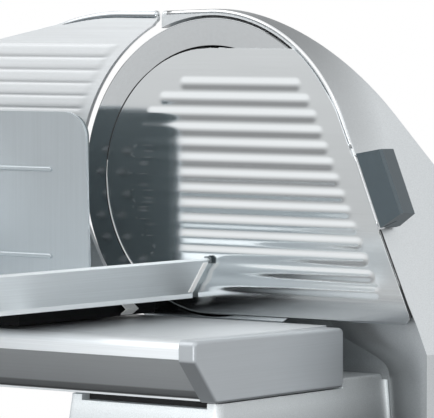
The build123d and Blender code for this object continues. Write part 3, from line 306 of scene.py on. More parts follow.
def metal_paint(name, colour, metallic, rough, flank=1.0, hollow=None, foot=None):
    """Silver coat: fine flakes, a little orange peel; faces turned to the right can have painted shade.

    A hollow and a foot are two heights each: from the first down to the second, the left-facing walls
    of the hollow and every face of the foot get painted shade. With a hollow, the band of the flank
    beside the housing's rim gets painted shade too.
    """
    finish = Finish(name, {"Metallic": metallic, "Roughness": rough, "Coat Weight": 0.12,
                           "Coat Roughness": 0.25})
    flakes = finish.grain(1500.0, detail=2.0, soften=0.7)
    finish.tint(flakes, shade(colour, 0.86), shade(colour, 1.06))
    finish.spread(finish.grain(900.0), rough - 0.05, rough + 0.06)
    if flank < 1.0:
        # painted shade: faces turned to the right get a deeper tone
        finish.deepen(finish.facing("X", 0.3, 0.9), ((0.0, 1.0), (1.0, flank)))
    if hollow is not None:
        # painted shade: left-facing walls of the hollow get darker from the first height down to the
        # second
        leftward = finish.facing("X", 0.7, -0.7)
        finish.deepen(leftward, ((0.0, 1.0), (1.0, HOLLOW_PAINTED_SHADE)), finish.between(hollow))
        # painted shade: the band of the flank just outside the housing's rim gets a deeper tone
        out = finish.share(finish.from_blade(), *(edge * MM for edge in RIM_SHADE_BAND))
        sideways = finish.maths("MULTIPLY", finish.facing("Y", -0.7, -0.3), finish.facing("Y", 0.4, 0.15))
        finish.deepen(out, ((0.0, RIM_PAINTED_SHADE), (1.0, 1.0)), sideways)
    if foot is not None:
        # painted shade: every face gets darker from the first height of the foot down to the second
        finish.deepen(finish.between(foot), ((0.0, 1.0), (1.0, PAINT_FOOT_PAINTED_SHADE)))
    return finish.bump(finish.grain(420.0, detail=2.0), 0.02, 0.35).material


def brushed_metal(name, colour, stretch, rough, depth=0.004, metallic=1.0):
    """Satin metal with fine lines along one axis."""
    finish = Finish(name, {"Metallic": metallic, "Roughness": rough})
    lines = finish.grain(1.0, stretch, detail=4.0, soften=0.65)
    finish.tint(lines, shade(colour, 0.95), shade(colour, 1.04))
    finish.spread(lines, rough - 0.05, rough + 0.05)
    return finish.bump(lines, depth, 0.5).material


def ribbed_satin(name, colour, rough):
    """Satin plate with painted shade in its grooves, strongest along the upper edge of each pressed rib.
    """
    finish = Finish(name, {"Metallic": 1.0, "Roughness": rough})
    lines = finish.grain(1.0, ALONG_X, detail=4.0, soften=0.65)
    finish.tint(lines, shade(colour, 0.97), shade(colour, 1.02))
    finish.spread(lines, rough - 0.05, rough + 0.05)
    split = finish.tree.nodes.new("ShaderNodeSeparateXYZ")
    finish.tree.links.new(finish.coords, split.inputs[0])
    top_edge = place(0, 0, GAUGE_RIB_TOP + GAUGE_RIB_PITCH / 2).z
    rib = finish.share(split.outputs["Z"], top_edge - GAUGE_RIB_PITCH * MM, top_edge, clamp=False)
    ribbed = finish.share(finish.from_blade(), GAUGE_FLAT_R * MM, (GAUGE_FLAT_R + GAUGE_RIB_FADE) * MM)
    below = finish.share(split.outputs["Z"], top_edge + 0.2 * MM, top_edge - 0.2 * MM)
    # painted shade: the ribbed part of the plate darkens toward each groove
    finish.deepen(finish.maths("FRACT", rib), GAUGE_RIB_PAINTED_SHADE, finish.maths("MULTIPLY", ribbed, below))
    return finish.bump(lines, 0.004, 0.5).material


def banded_satin(name, colour, rough, node, tones):
    """Satin bar with painted light and shade that change up its side, given in millimetres from its foot.
    """
    finish = Finish(name, {"Metallic": 0.4, "Roughness": rough})
    lines = finish.grain(1.0, ALONG_X, detail=4.0, soften=0.65)
    finish.tint(lines, shade(colour, 0.95), shade(colour, 1.04))
    finish.spread(lines, rough - 0.05, rough + 0.05)
    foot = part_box(node)[0].z
    high = tones[-1][0]
    up = finish.height(foot, foot + high * MM)
    # painted light and shade: the colour is scaled by height up the bar's side
    finish.deepen(up, [(spot / high, level) for spot, level in tones])
    return finish.bump(lines, 0.004, 0.5).material


def cap_satin(name, colour, rough):
    """Satin casting with painted shade on its underside."""
    finish = Finish(name, {"Metallic": 0.35, "Roughness": rough})
    lines = finish.grain(1.0, ALONG_Y, detail=4.0, soften=0.65)
    finish.tint(lines, shade(colour, 0.96), shade(colour, 1.03))
    finish.spread(lines, rough - 0.05, rough + 0.05)
    # painted shade: faces turned downward get a deeper tone
    finish.deepen(finish.facing("Z", -0.2, -0.6), ((0.0, 1.0), (1.0, UNDERSIDE_PAINTED_SHADE)))
    return finish.bump(lines, 0.003, 0.5).material


def cast_metal(name, colour, rough):
    """Bare casting with a fine sand grain."""
    finish = Finish(name, {"Metallic": 0.9, "Roughness": rough})
    grain = finish.grain(1400.0, detail=3.0)
    finish.tint(finish.grain(60.0), shade(colour, 0.92), shade(colour, 1.05))
    finish.spread(grain, rough - 0.06, rough + 0.06)
    return finish.bump(grain, 0.03, 0.4).material


def polished_metal(name, colour, rough, stretch, edge_r=None, foot=None):
    """Mirror-polished steel with faint polishing lines; a ring at the blade's edge can be darker, and a
    foot can get painted shade.
    """
    finish = Finish(name, {"Metallic": 1.0, "Roughness": rough})
    lines = finish.grain(1.0, stretch, detail=3.0)
    finish.tint(lines, shade(colour, 0.985), shade(colour, 1.01))
    finish.spread(lines, rough * 0.8, rough * 1.25)
    if edge_r is not None:
        # the outermost ring of the blade is darker
        out = finish.share(finish.from_blade(), (edge_r - BLADE_EDGE_DARK_EASE) * MM, edge_r * MM)
        finish.deepen(out, ((0.0, 1.0), (1.0, BLADE_EDGE_DARK_TONE)))
    if foot is not None:
        # painted shade: the sheet gets darker from the first height of the foot down to the second
        finish.deepen(finish.between(foot), ((0.0, 1.0), (1.0, SHEET_FOOT_PAINTED_SHADE)))
    return finish.bump(lines, 0.002, 0.3).material


def moulded_plastic(name, colour, rough, sheen=0.45):
    """Plastic with the fine grain of its mould."""
    finish = Finish(name, {"Roughness": rough, "Specular IOR Level": sheen})
    grain = finish.grain(1900.0, detail=2.0)
    finish.tint(finish.grain(140.0), shade(colour, 0.97), shade(colour, 1.03))
    finish.spread(grain, rough - 0.05, rough + 0.06)
    return finish.bump(grain, 0.012, 0.5).material


def soft_rubber(name, colour):
    """Dull rubber, slightly uneven in tone."""
    finish = Finish(name, {"Roughness": 0.78, "Specular IOR Level": 0.3})
    grain = finish.grain(2400.0, detail=2.0)
    finish.tint(finish.grain(90.0), shade(colour, 0.85), shade(colour, 1.2))
    finish.spread(grain, 0.72, 0.86)
    return finish.bump(grain, 0.02, 0.5).material


# grain of the metals, in cells a metre along each axis
ALONG_X = (9.0, 1500.0, 1500.0)
ALONG_Y = (1500.0, 9.0, 1500.0)
ALONG_Z = (1500.0, 1500.0, 9.0)
POLISHED = (400.0, 400.0, 400.0)
TURNED = (500.0, 500.0, 500.0)
SILVER = (0.72, 0.755, 0.775)
# beam, painted light and shade up its side from its foot: bright lip, dark fold and undercut in painted
# shade, rounded nose and top
BEAM_PAINTED_LIGHT_AND_SHADE = ((0.0, 0.9), (1.3, 0.9), (1.8, 0.1), (7.0, 0.12), (8.2, 0.28), (31.1, 0.35), (31.5, 0.96),
              (41.0, 0.96), (45.0, 0.6))

finishes = {
    "silver_paint": metal_paint("silver_paint", SILVER, 0.85, 0.38),
    # housing: painted shade in the recess and on the band beside the rim
    "housing_paint_painted_shade": metal_paint("housing_paint_painted_shade", SILVER, 0.85, 0.38, hollow=HOUSING_SHADED_HOLLOW),
    # pedestal: a paler copy of the silver paint, painted light for its shadowed front, with painted shade
    # on its right side and low down
    "pedestal_painted_light_and_shade": metal_paint("pedestal_painted_light_and_shade", (0.89, 0.945, 0.97), 0.1, 0.4, flank=0.6,
                                  foot=PEDESTAL_SHADED_FOOT),
    "satin_aluminium": brushed_metal("satin_aluminium", (0.6, 0.63, 0.65), ALONG_X, 0.3),
    "satin_beam_light_and_shade": banded_satin("satin_beam_light_and_shade", (0.88, 0.925, 0.955), 0.42, "beam", BEAM_PAINTED_LIGHT_AND_SHADE),
    "satin_lip": brushed_metal("satin_lip", (0.79, 0.83, 0.85), ALONG_Y, 0.46, metallic=0.85),
    "satin_pusher": brushed_metal("satin_pusher", (0.46, 0.5, 0.525), ALONG_Z, 0.46, 0.002),
    # rolled top edge of the thickness plate: a darker copy of the plate's aluminium, painted shade
    "hem_aluminium": brushed_metal("hem_aluminium", (0.5, 0.535, 0.56), ALONG_X, 0.2),
    "cap_grey": cap_satin("cap_grey", (0.42, 0.45, 0.475), 0.34),
    "cast_aluminium": cast_metal("cast_aluminium", (0.6, 0.61, 0.62), 0.42),
    # blade cover: painted shade along its foot
    "polished_cover": polished_metal("polished_cover", (0.77, 0.8, 0.815), 0.12, ALONG_X, foot=COVER_SHADED_FOOT),
    "polished_blade": polished_metal("polished_blade", (0.765, 0.795, 0.815), 0.1, POLISHED, BLADE_EDGE_DARK_R),
    "steel": brushed_metal("steel", (0.6, 0.61, 0.62), ALONG_Y, 0.25),
    "screw_steel": brushed_metal("screw_steel", (0.56, 0.57, 0.58), TURNED, 0.3),
    "bearing_steel": brushed_metal("bearing_steel", (0.5, 0.51, 0.52), TURNED, 0.22),
    "grip_plastic": moulded_plastic("grip_plastic", (0.06, 0.082, 0.095), 0.45),
    "black_plastic": moulded_plastic("black_plastic", (0.004, 0.0045, 0.005), 0.7, sheen=0.12),
    "pad_plastic": moulded_plastic("pad_plastic", (0.13, 0.16, 0.17), 0.55),
    "corner_plastic": moulded_plastic("corner_plastic", (0.1, 0.12, 0.13), 0.4),
    "grey_plastic": moulded_plastic("grey_plastic", (0.3, 0.32, 0.33), 0.5),
    # white for pieces that stand in for bright edges: painted highlight
    "strip_white": moulded_plastic("strip_white", (0.95, 0.95, 0.94), 0.4),
    "spike_steel": brushed_metal("spike_steel", (0.36, 0.38, 0.39), TURNED, 0.5),
    "rim_steel": polished_metal("rim_steel", (0.78, 0.8, 0.815), 0.14, POLISHED),
    "white_mark": moulded_plastic("white_mark", (0.8, 0.8, 0.78), 0.4),
    "white_plastic": moulded_plastic("white_plastic", (0.75, 0.75, 0.73), 0.5),
    "pulley_alloy": cast_metal("pulley_alloy", (0.6, 0.6, 0.61), 0.35),
    "motor_alloy": cast_metal("motor_alloy", (0.45, 0.46, 0.47), 0.5),
    "brass_pins": brushed_metal("brass_pins", (0.72, 0.57, 0.28), ALONG_Y, 0.25),
    "rubber_black": soft_rubber("rubber_black", (0.022, 0.022, 0.023)),
}
special_finish = {"tray": "satin_lip", "beam": "satin_beam_light_and_shade", "pusher_plate": "satin_pusher",
                  "pedestal": "pedestal_painted_light_and_shade", "housing": "housing_paint_painted_shade", "pusher_spikes": "spike_steel",
                  "pusher_pad": "pad_plastic", "lip_cap": "corner_plastic"}


def dress(piece, finish_name):
    piece.data.materials.clear()
    piece.data.materials.append(finishes[finish_name])


for subpart in frame["record"]["subparts"]:
    node = subpart["node"]
    dress(frame["nodes"][node], special_finish.get(node, subpart["material_slot"]))


def soften(node, width_mm):
    """Rounds a CAD node's sharp edges for the light."""
    piece = frame["nodes"][node]
    weld = piece.modifiers.new("weld", "WELD")
    weld.merge_threshold = 0.00002
    bevel = piece.modifiers.new("bevel", "BEVEL")
    bevel.width = width_mm * MM
    bevel.segments = 2
    bevel.limit_method = "ANGLE"
    bevel.angle_limit = math.radians(32)
    bevel.use_clamp_overlap = True
    normals = piece.modifiers.new("normals", "WEIGHTED_NORMAL")
    normals.keep_sharp = False


edge_widths = {"cover_grip": 1.2, "beam": 0.5, "tray": 0.5, "beam_cap_far": 0.9, "beam_cap_near": 0.5,
               "pedestal": 1.0, "pusher_plate": 0.5, "fence": 0.7, "slider": 0.8, "control_box": 1.0}
for softened, width in edge_widths.items():
    soften(softened, width)


# Pressed plates
def smooth(value, low, high):
    t = min(max((value - low) / (high - low), 0.0), 1.0)
    return t * t * (3 - 2 * t)


def sheet_between(rows, left, right, columns, front, back):
    """Closed sheet: each row runs at one height from the left to the right outline."""
    points = []
    for depth in (front, back):
        for z in rows:
            x0, x1 = left(z), right(z)
            for column in range(columns + 1):
                x = x0 + (x1 - x0) * column / columns
                points.append(place(x, depth(x, z), z))
    wide = columns + 1
    offset = len(rows) * wide
    faces = []
    for row in range(len(rows) - 1):
        for column in range(columns):
            a = row * wide + column
            faces.append((a, a + 1, a + wide + 1, a + wide))
            b = a + offset
            faces.append((b, b + wide, b + wide + 1, b + 1))
    top = (len(rows) - 1) * wide
    for column in range(columns):
        faces.append((column + 1, column, column + offset, column + 1 + offset))
        a = top + column
        faces.append((a, a + 1, a + 1 + offset, a + offset))
    for row in range(len(rows) - 1):
        a = row * wide
        faces.append((a, a + wide, a + wide + offset, a + offset))
        b = a + columns
        faces.append((b + wide, b, b + offset, b + wide + offset))
    return points, faces


def mesh_piece(name, points, faces, body, slot, finish_name):
    """A smooth-shaded piece that rides on a body, with a finish; the slot argument is not used."""
    mesh = bpy.data.meshes.new(name)
    mesh.from_pydata([tuple(p) for p in points], [], faces)
    mesh.validate()
    for polygon in mesh.polygons:
        polygon.use_smooth = True
    mesh.update()
    piece = bpy.data.objects.new(name, mesh)
    bpy.context.scene.collection.objects.link(piece)
    dress(piece, finish_name)
    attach(piece, body)
    return piece


def round_rim(piece, width_mm):
    """Rounds the rim of a sheet."""
    bevel = piece.modifiers.new("rim", "BEVEL")
    bevel.width = width_mm * MM
    bevel.segments = 2
    bevel.limit_method = "ANGLE"
    bevel.angle_limit = math.radians(50)
    normals = piece.modifiers.new("normals", "WEIGHTED_NORMAL")
    normals.keep_sharp = False


def steps(low, high, size):
    """Even values from low to high, about a size apart."""
    count = max(1, round((high - low) / size))
    return [low + (high - low) * k / count for k in range(count + 1)]


# blade cover: a flat sheet with rounded ribs, cut straight along its right edge
COVER_R = 102.0
COVER_OUT_R = 128.5
COVER_EDGE = 130.0
COVER_TILT = math.radians(23.9)
COVER_CORNER = 6.0
COVER_EASE = 24.0
COVER_FRONT = -3.0
COVER_THICK = 1.5
RIB_COUNT = 14
RIB_TOP = 74.9
RIB_PITCH = 11.8
RIB_RISE = 0.33
RIB_ENDS_R = 81.0
RIB_MARGIN = 18.0
RIPPLE = 0.04
EDGE_WIDE = 1.2
EDGE_ROLL = 0.6
EDGE_ROLL_FADE = (-12.0, 10.0)
CURL_FROM = -84.0
CURL = 0.0012
TAB_OUT = 6.0
TAB_TOP, TAB_LOW = 21.5, -31.3
tilt_cos, tilt_sin = math.cos(COVER_TILT), math.sin(COVER_TILT)
corner_z = -COVER_R + COVER_CORNER
corner_x = (COVER_EDGE - COVER_CORNER - corner_z * tilt_sin) / tilt_cos


def cover_left(z):
    return -math.sqrt(max(COVER_R ** 2 - z * z, 0.0))


def cover_edge(z):
    """Right edge without the tab under the grip: an arc that runs into a straight line."""
    join = COVER_EDGE * tilt_sin
    if z > join:
        out = COVER_EDGE - (COVER_EDGE - COVER_OUT_R) * smooth(z, join, join + COVER_EASE)
        return math.sqrt(out ** 2 - z * z)
    return (COVER_EDGE - z * tilt_sin) / tilt_cos


def cover_right(z):
    if z > COVER_EDGE * tilt_sin:
        return cover_edge(z)
    if z < corner_z + COVER_CORNER * tilt_sin:
        return corner_x + math.sqrt(max(COVER_CORNER ** 2 - (z - corner_z) ** 2, 0.0))
    tab = smooth(z, TAB_LOW - 1, TAB_LOW + 1) - smooth(z, TAB_TOP - 1, TAB_TOP + 1)
    return (COVER_EDGE + TAB_OUT * tab - z * tilt_sin) / tilt_cos


def rib_rise(x, z):
    """Height of the rib nearest to a point, a rounded bar with rounded ends."""
    rib = min(max(round((RIB_TOP - z) / RIB_PITCH), 0), RIB_COUNT - 1)
    rib_z = RIB_TOP - rib * RIB_PITCH
    half = RIB_PITCH / 2
    start = -math.sqrt(RIB_ENDS_R ** 2 - rib_z ** 2) + half
    end = cover_edge(rib_z) - RIB_MARGIN - half
    away = math.hypot(x - min(max(x, start), end), z - rib_z)
    if away >= half:
        return 0.0
    return RIB_RISE * (0.5 + 0.5 * math.cos(math.pi * away / half))


def cover_face(x, z):
    """Ribs and slight ripple of the sheet, the same on both faces."""
    ripple = noise.noise(Vector((x * 0.02, z * 0.05, 3.1))) * RIPPLE
    return COVER_FRONT - rib_rise(x, z) - ripple


def cover_front(x, z):
    """Front face, rolled back at the lower edge and curled back at the foot."""
    edge = 1 - smooth(COVER_R - math.hypot(min(x, 0.0), z), 0.0, EDGE_WIDE)
    edge *= smooth(-z, *EDGE_ROLL_FADE)
    return cover_face(x, z) + CURL * max(CURL_FROM - z, 0.0) ** 2 + EDGE_ROLL * edge * edge


def cover_back(x, z):
    return cover_face(x, z) + COVER_THICK


cover_rows = steps(-COVER_R, COVER_R, 0.9)
cover_mesh = sheet_between(cover_rows, cover_left, cover_right, 150, cover_front, cover_back)
cover = mesh_piece("blade_cover_sheet", *cover_mesh, "blade_cover", "polished_cover", "polished_cover")
round_rim(cover, 0.35)
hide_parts("cover_plate")

# thickness plate: rounded ribs close together, a curved edge beside the blade and a rolled top edge
GAUGE_R = 133.0
GAUGE_CLOSE = 4.5
GAUGE_CLOSE_FADE = (10.0, 60.0)
GAUGE_FRONT = 1.2
GAUGE_BACK = 5.0
GAUGE_LEFT = -338.0
GAUGE_LOW = -81.9
GAUGE_SHOULDER = 119.0
GAUGE_SHOULDER_RISE = 5.0
GAUGE_END = -55.0
GAUGE_END_ROUND = 3.0
GAUGE_CREST = (-88.0, 130.6)
GAUGE_SLOPE_TOP = (-156.0, 119.6)
GAUGE_SLOPE = 0.2
GAUGE_RIB_PITCH = 10.1
GAUGE_RIB_TOP = 99.2
GAUGE_RIBS = 16
GAUGE_RIB_RISE = 0.3
GAUGE_FLAT_R = 138.0
GAUGE_RIB_FADE = 7.0
GAUGE_RIB_LEFT = (8.0, 16.0)
GAUGE_RIBS_HIGH = 104.2
HEM_START = -172.0
HEM_HEIGHT = 6.5
HEM_DEPTH = 2.4
HEM_BACK = 1.4
HEM_TIP = 1.6
HEM_TIP_LEAST = 0.3
# painted shade across a rib, from its lower edge (0) to its upper edge (1)
GAUGE_RIB_PAINTED_SHADE = ((0.0, 0.9), (0.12, 0.95), (0.5, 1.0), (0.85, 0.93), (1.0, 0.7))

crest_run = GAUGE_CREST[0] - GAUGE_SLOPE_TOP[0]
crest_drop = GAUGE_CREST[1] - GAUGE_SLOPE_TOP[1]
crest_round = crest_run ** 2 / (2 * crest_drop)


def gauge_top(x):
    """Height of the top edge, a slope that rounds off into a flat crest."""
    if x > GAUGE_CREST[0]:
        return GAUGE_CREST[1]
    if x > GAUGE_SLOPE_TOP[0]:
        return GAUGE_CREST[1] - (GAUGE_CREST[0] - x) ** 2 / (2 * crest_round)
    return GAUGE_SLOPE_TOP[1] - (GAUGE_SLOPE_TOP[0] - x) * GAUGE_SLOPE


def gauge_left(z):
    if z > GAUGE_SLOPE_TOP[1]:
        return GAUGE_CREST[0] - math.sqrt(max(GAUGE_CREST[1] - z, 0.0) * 2 * crest_round)
    return max(GAUGE_LEFT, GAUGE_SLOPE_TOP[0] - (GAUGE_SLOPE_TOP[1] - z) / GAUGE_SLOPE)


def gauge_right(z):
    round_z = GAUGE_CREST[1] - GAUGE_END_ROUND
    if z > round_z:
        return GAUGE_END - GAUGE_END_ROUND + math.sqrt(max(GAUGE_END_ROUND ** 2 - (z - round_z) ** 2, 0.0))
    if z > GAUGE_SHOULDER:
        shoulder = -math.sqrt(GAUGE_R ** 2 - GAUGE_SHOULDER ** 2)
        return shoulder + (GAUGE_END - shoulder) * smooth(z - GAUGE_SHOULDER, 0.0, GAUGE_SHOULDER_RISE)
    reach = GAUGE_R - GAUGE_CLOSE * smooth(-z, *GAUGE_CLOSE_FADE)
    return -math.sqrt(reach ** 2 - z * z)


def gauge_front(x, z):
    rib = round((GAUGE_RIB_TOP - z) / GAUGE_RIB_PITCH)
    if rib < 0 or rib >= GAUGE_RIBS:
        return GAUGE_FRONT
    across = abs(z - GAUGE_RIB_TOP + rib * GAUGE_RIB_PITCH) / (GAUGE_RIB_PITCH / 2)
    ends = smooth(math.hypot(x, z), GAUGE_FLAT_R, GAUGE_FLAT_R + GAUGE_RIB_FADE)
    ends *= smooth(x - gauge_left(z), *GAUGE_RIB_LEFT)
    return GAUGE_FRONT - GAUGE_RIB_RISE * ends * (1 - across ** 4)


def gauge_back(x, z):
    return GAUGE_BACK


def rolled_hem():
    """Bead along the top edge: oval rings that grow from nothing to the full hem, with a round tip."""
    points, faces = [], []
    ring = 20
    stations = steps(HEM_START, GAUGE_END - HEM_TIP, 2.4) + [GAUGE_END - 0.7, GAUGE_END - 0.15, GAUGE_END]
    for x in stations:
        share = math.sqrt(1 - ((GAUGE_END - x) / (GAUGE_END - HEM_START)) ** 2)
        tip = min((GAUGE_END - x) / HEM_TIP, 1.0)
        end = max(math.sqrt(1 - (1 - tip) ** 2), HEM_TIP_LEAST)
        high = max(HEM_HEIGHT * share, 0.1) / 2
        deep = max(HEM_DEPTH * share, 0.1)
        for k in range(ring):
            turn = 2 * math.pi * k / ring
            points.append(place(x, GAUGE_FRONT + HEM_BACK - deep * math.cos(turn) * end,
                                gauge_top(x) - high + high * math.sin(turn) * end))
    for station in range(len(stations) - 1):
        for k in range(ring):
            a, b = station * ring + k, station * ring + (k + 1) % ring
            faces.append((b, a, a + ring, b + ring))
    faces.append(tuple(range(ring)))
    faces.append(tuple(len(points) - 1 - k for k in range(ring)))
    return points, faces


gauge_rows = steps(GAUGE_LOW, GAUGE_RIBS_HIGH, 0.72)[:-1] + steps(GAUGE_RIBS_HIGH, GAUGE_CREST[1], 0.5)
finishes["gauge_aluminium"] = ribbed_satin("gauge_aluminium", (0.84, 0.87, 0.89), 0.46)
gauge_mesh = sheet_between(gauge_rows, gauge_left, gauge_right, 110, gauge_front, gauge_back)
gauge = mesh_piece("thickness_sheet", *gauge_mesh, "gauge", "satin_aluminium", "gauge_aluminium")
round_rim(gauge, 0.5)
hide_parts("gauge_plate")
# the hem has painted shade: it is darker than the plate it is rolled from
mesh_piece("thickness_hem", *rolled_hem(), "gauge", "satin_aluminium", "hem_aluminium")

# tray lip: a white strip across the outer face at its end, a painted highlight of the lip's bright end
LIP_FOOT = (-14.6, -86.4)
LIP_HEAD = (1.8, -60.2)
TRAY_BACK = -6.5
STRIP_WIDE = 6.2
STRIP_THICK = 0.6
STRIP_INSET = 0.6
STRIP_BEVEL = 0.7
STRIP_SUNK = 0.05


def painted_highlight_strip():
    """Low bar with bevelled sides, laid up the slanting face of the lip; white, as a painted highlight."""
    along = Vector((LIP_HEAD[0] - LIP_FOOT[0], 0.0, LIP_HEAD[1] - LIP_FOOT[1]))
    out = Vector((along.z, 0.0, -along.x)).normalized()
    back = TRAY_BACK - STRIP_INSET
    front = back - STRIP_WIDE
    profile = ((front, 0.0), (front + STRIP_BEVEL, STRIP_THICK), (back - STRIP_BEVEL, STRIP_THICK),
               (back, 0.0))
    points, faces = [], []
    stations = steps(0.05, 0.93, 0.11)
    for share in stations:
        foot = Vector((LIP_FOOT[0], 0.0, LIP_FOOT[1])) + along * share
        for y, thick in profile:
            spot = foot + out * (thick - STRIP_SUNK)
            points.append(place(spot.x, y, spot.z))
    sides = len(profile)
    for station in range(len(stations) - 1):
        for k in range(sides):
            a, b = station * sides + k, station * sides + (k + 1) % sides
            faces.append((a, b, b + sides, a + sides))
    faces.append(tuple(reversed(range(sides))))
    faces.append(tuple(len(points) - sides + k for k in range(sides)))
    return points, faces


strip = mesh_piece("lip_painted_highlight_strip", *painted_highlight_strip(), "carriage", "white_plastic", "strip_white")

# housing rim: a bright rounded trim, a dark ring in the blade's well and a dark strip beside the cover,
# both painted shade for shadowed gaps.
# cover: a dark ring behind its round edge, a painted shadow; a white bead on that edge, a painted
# highlight; a bright bead beside the grip.
# Sections are radius and depth; angles of the dark ring behind the edge and of the edge bead are in
# degrees.
TRIM_SECTION = ((128.9, -0.9), (129.0, -1.2), (129.6, -1.4), (130.4, -1.4), (131.2, -1.1), (131.8, -0.4),
                (131.98, 0.6), (131.6, 0.9))
TRIM_THIN = ((130.1, -0.8), (130.2, -1.1), (130.4, -1.3), (130.7, -1.3), (131.0, -1.2), (131.2, -0.9),
             (131.3, -0.5), (131.0, -0.4))
TRIM_LEFT, TRIM_MIDDLE = -44.0, -4.0
TRIM_FALL = 0.03
TRIM_BLEND = math.radians(6.0)
WELL_SHADE_SECTION = ((126.0, 0.3), (127.2, 0.3), (127.2, 1.3), (126.0, 1.3))
WELL_SHADE_TURN = (math.radians(30.0), math.radians(95.0))
JOINT_SHADE_SECTION = ((130.1, -0.7), (130.2, -1.05), (130.9, -1.0), (131.1, -0.5), (130.6, -0.4))
GRIP_TOP, GRIP_FOOT = 27.5, 89.5
JOINT_END = 163.0
ARC_TURN = (92.0, 215.0)
ARC_WIDENS = (105.0, 150.0)
ARC_INNER, ARC_LOW, ARC_HIGH = 101.0, 102.8, 104.3
ARC_FRONT, ARC_BACK = -1.45, -0.7
EDGE_BEAD_TURN = (172.0, 226.0)
EDGE_BEAD_WIDENS = (172.0, 205.0)
EDGE_BEAD_WIDE = 0.8
BEAD_SECTION = ((132.6, -2.9), (132.8, -3.3), (133.3, -3.5), (133.9, -3.3), (134.1, -2.9))
GRIP_TILT = math.radians(22.3)


def swept(sections):
    """Closed skin through equal rings of points, with both ends filled."""
    points = [place(*spot) for section in sections for spot in section]
    sides = len(sections[0])
    faces = []
    for station in range(len(sections) - 1):
        for k in range(sides):
            a, b = station * sides + k, station * sides + (k + 1) % sides
            faces.append((a, b, b + sides, a + sides))
    faces.append(tuple(reversed(range(sides))))
    faces.append(tuple(len(points) - sides + k for k in range(sides)))
    return points, faces


def ring_at(section, turn):
    """A section given as radius and depth, turned about the blade's axis."""
    return [(r * math.cos(turn), y, r * math.sin(turn)) for r, y in section]


def round_blade(section, start, end):
    return [ring_at(section, turn) for turn in steps(start, end, math.radians(1.5))]


def along_line(section, tilt, start, end):
    """Rings of a section that runs up a straight line leaning by the tilt, from its end to its start."""
    cos, sin = math.cos(tilt), math.sin(tilt)
    runs = steps(start, end, 6.0)[::-1]
    return [[(r * cos + run * sin, y, r * sin - run * cos) for r, y in section] for run in runs]


side_rings = along_line(TRIM_THIN, COVER_TILT, 0.0, GRIP_TOP)
arc_rings = round_blade(TRIM_SECTION, COVER_TILT + TRIM_BLEND, math.pi / 2)
top_rings = [[(x, y, r + TRIM_FALL * x) for r, y in TRIM_SECTION]
             for x in steps(TRIM_LEFT, TRIM_MIDDLE, 8.0)[::-1]]
mesh_piece("rim_trim", *swept(side_rings + arc_rings + top_rings), "frame", "steel", "rim_steel")
# painted shade: a black ring in the well gap behind the blade's edge
well_shade_rings = round_blade(WELL_SHADE_SECTION, *WELL_SHADE_TURN)
mesh_piece("well_shade_ring", *swept(well_shade_rings), "frame", "rubber_black", "rubber_black")
# painted shade: a black strip in the gap beside the cover's straight edge
joint_shade_rings = along_line(JOINT_SHADE_SECTION, COVER_TILT, GRIP_FOOT, JOINT_END)
mesh_piece("cover_joint_painted_shade", *swept(joint_shade_rings), "frame", "rubber_black", "rubber_black")
# painted shadow: a black ring behind the cover's round edge, wider toward the left
arc_shadow_rings = []
for degrees in steps(*ARC_TURN, 1.5):
    reach = ARC_LOW + (ARC_HIGH - ARC_LOW) * smooth(degrees, *ARC_WIDENS)
    section = ((ARC_INNER, ARC_FRONT), (reach, ARC_FRONT), (reach, ARC_BACK), (ARC_INNER, ARC_BACK))
    arc_shadow_rings.append(ring_at(section, math.radians(degrees)))
mesh_piece("cover_arc_painted_shadow", *swept(arc_shadow_rings), "blade_cover", "rubber_black", "rubber_black")
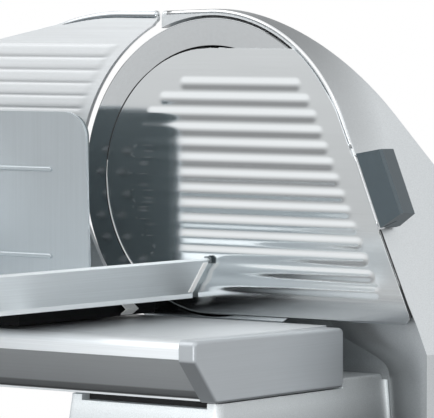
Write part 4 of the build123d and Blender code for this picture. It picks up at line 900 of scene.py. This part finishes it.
# painted highlight: a white bead along the lower left of the cover's round edge
edge_highlight_rings = []
for degrees in steps(*EDGE_BEAD_TURN, 1.5):
    inner = COVER_R - EDGE_BEAD_WIDE * (0.1 + 0.9 * smooth(degrees, *EDGE_BEAD_WIDENS))
    section = ((inner, -2.8), (inner, -3.2), ((inner + COVER_R) / 2, -3.3), (COVER_R, -3.1),
               (COVER_R, -2.6))
    edge_highlight_rings.append(ring_at(section, math.radians(degrees)))
mesh_piece("cover_edge_painted_highlight", *swept(edge_highlight_rings), "blade_cover", "polished_cover", "strip_white")
bead_rings = along_line(BEAD_SECTION, GRIP_TILT, GRIP_TOP + 2.5, GRIP_FOOT - 1.5)
mesh_piece("grip_bead", *swept(bead_rings), "blade_cover", "polished_cover", "rim_steel")

# slider: a bent steel leaf at its end, over the beam, white as a painted highlight
LEAF = ((-45.5, -92.6), (-44.6, -92.2), (-38.6, -97.0), (-45.0, -101.6), (-46.0, -101.2), (-40.4, -97.0))
LEAF_FRONT, LEAF_BACK = -57.0, -43.0
leaf_rings = [[(x, y, z) for x, z in LEAF] for y in (LEAF_FRONT, LEAF_BACK)]
leaf = mesh_piece("slider_leaf", *swept(leaf_rings), "carriage", "steel", "strip_white")
for flat_sided in (strip, leaf):
    for polygon in flat_sided.data.polygons:
        polygon.use_smooth = False

# floor: a pale disc that fades into the studio
FLOOR_R = 1.6
FLOOR_FADE = (0.42, 0.74)


def pale_floor():
    sides = 64
    turns = [2 * math.pi * k / sides for k in range(sides)]
    rim = [(FLOOR_R * math.cos(turn), FLOOR_R * math.sin(turn), 0.0) for turn in turns]
    mesh = bpy.data.meshes.new("floor")
    mesh.from_pydata(rim, [], [tuple(range(sides))])
    floor = bpy.data.objects.new("floor", mesh)
    bpy.context.scene.collection.objects.link(floor)
    finish = Finish("floor", {"Base Color": (0.55, 0.55, 0.55, 1.0), "Roughness": 0.9,
                              "Specular IOR Level": 0.1})
    tree = finish.tree
    length = tree.nodes.new("ShaderNodeVectorMath")
    length.operation = "LENGTH"
    tree.links.new(finish.coords, length.inputs[0])
    fade = tree.nodes.new("ShaderNodeMapRange")
    fade.interpolation_type = "SMOOTHSTEP"
    fade.inputs["From Min"].default_value = FLOOR_FADE[0]
    fade.inputs["From Max"].default_value = FLOOR_FADE[1]
    fade.inputs["To Min"].default_value = 1.0
    fade.inputs["To Max"].default_value = 0.0
    tree.links.new(length.outputs["Value"], fade.inputs["Value"])
    tree.links.new(fade.outputs["Result"], finish.shader.inputs["Alpha"])
    mesh.materials.append(finish.material)


pale_floor()
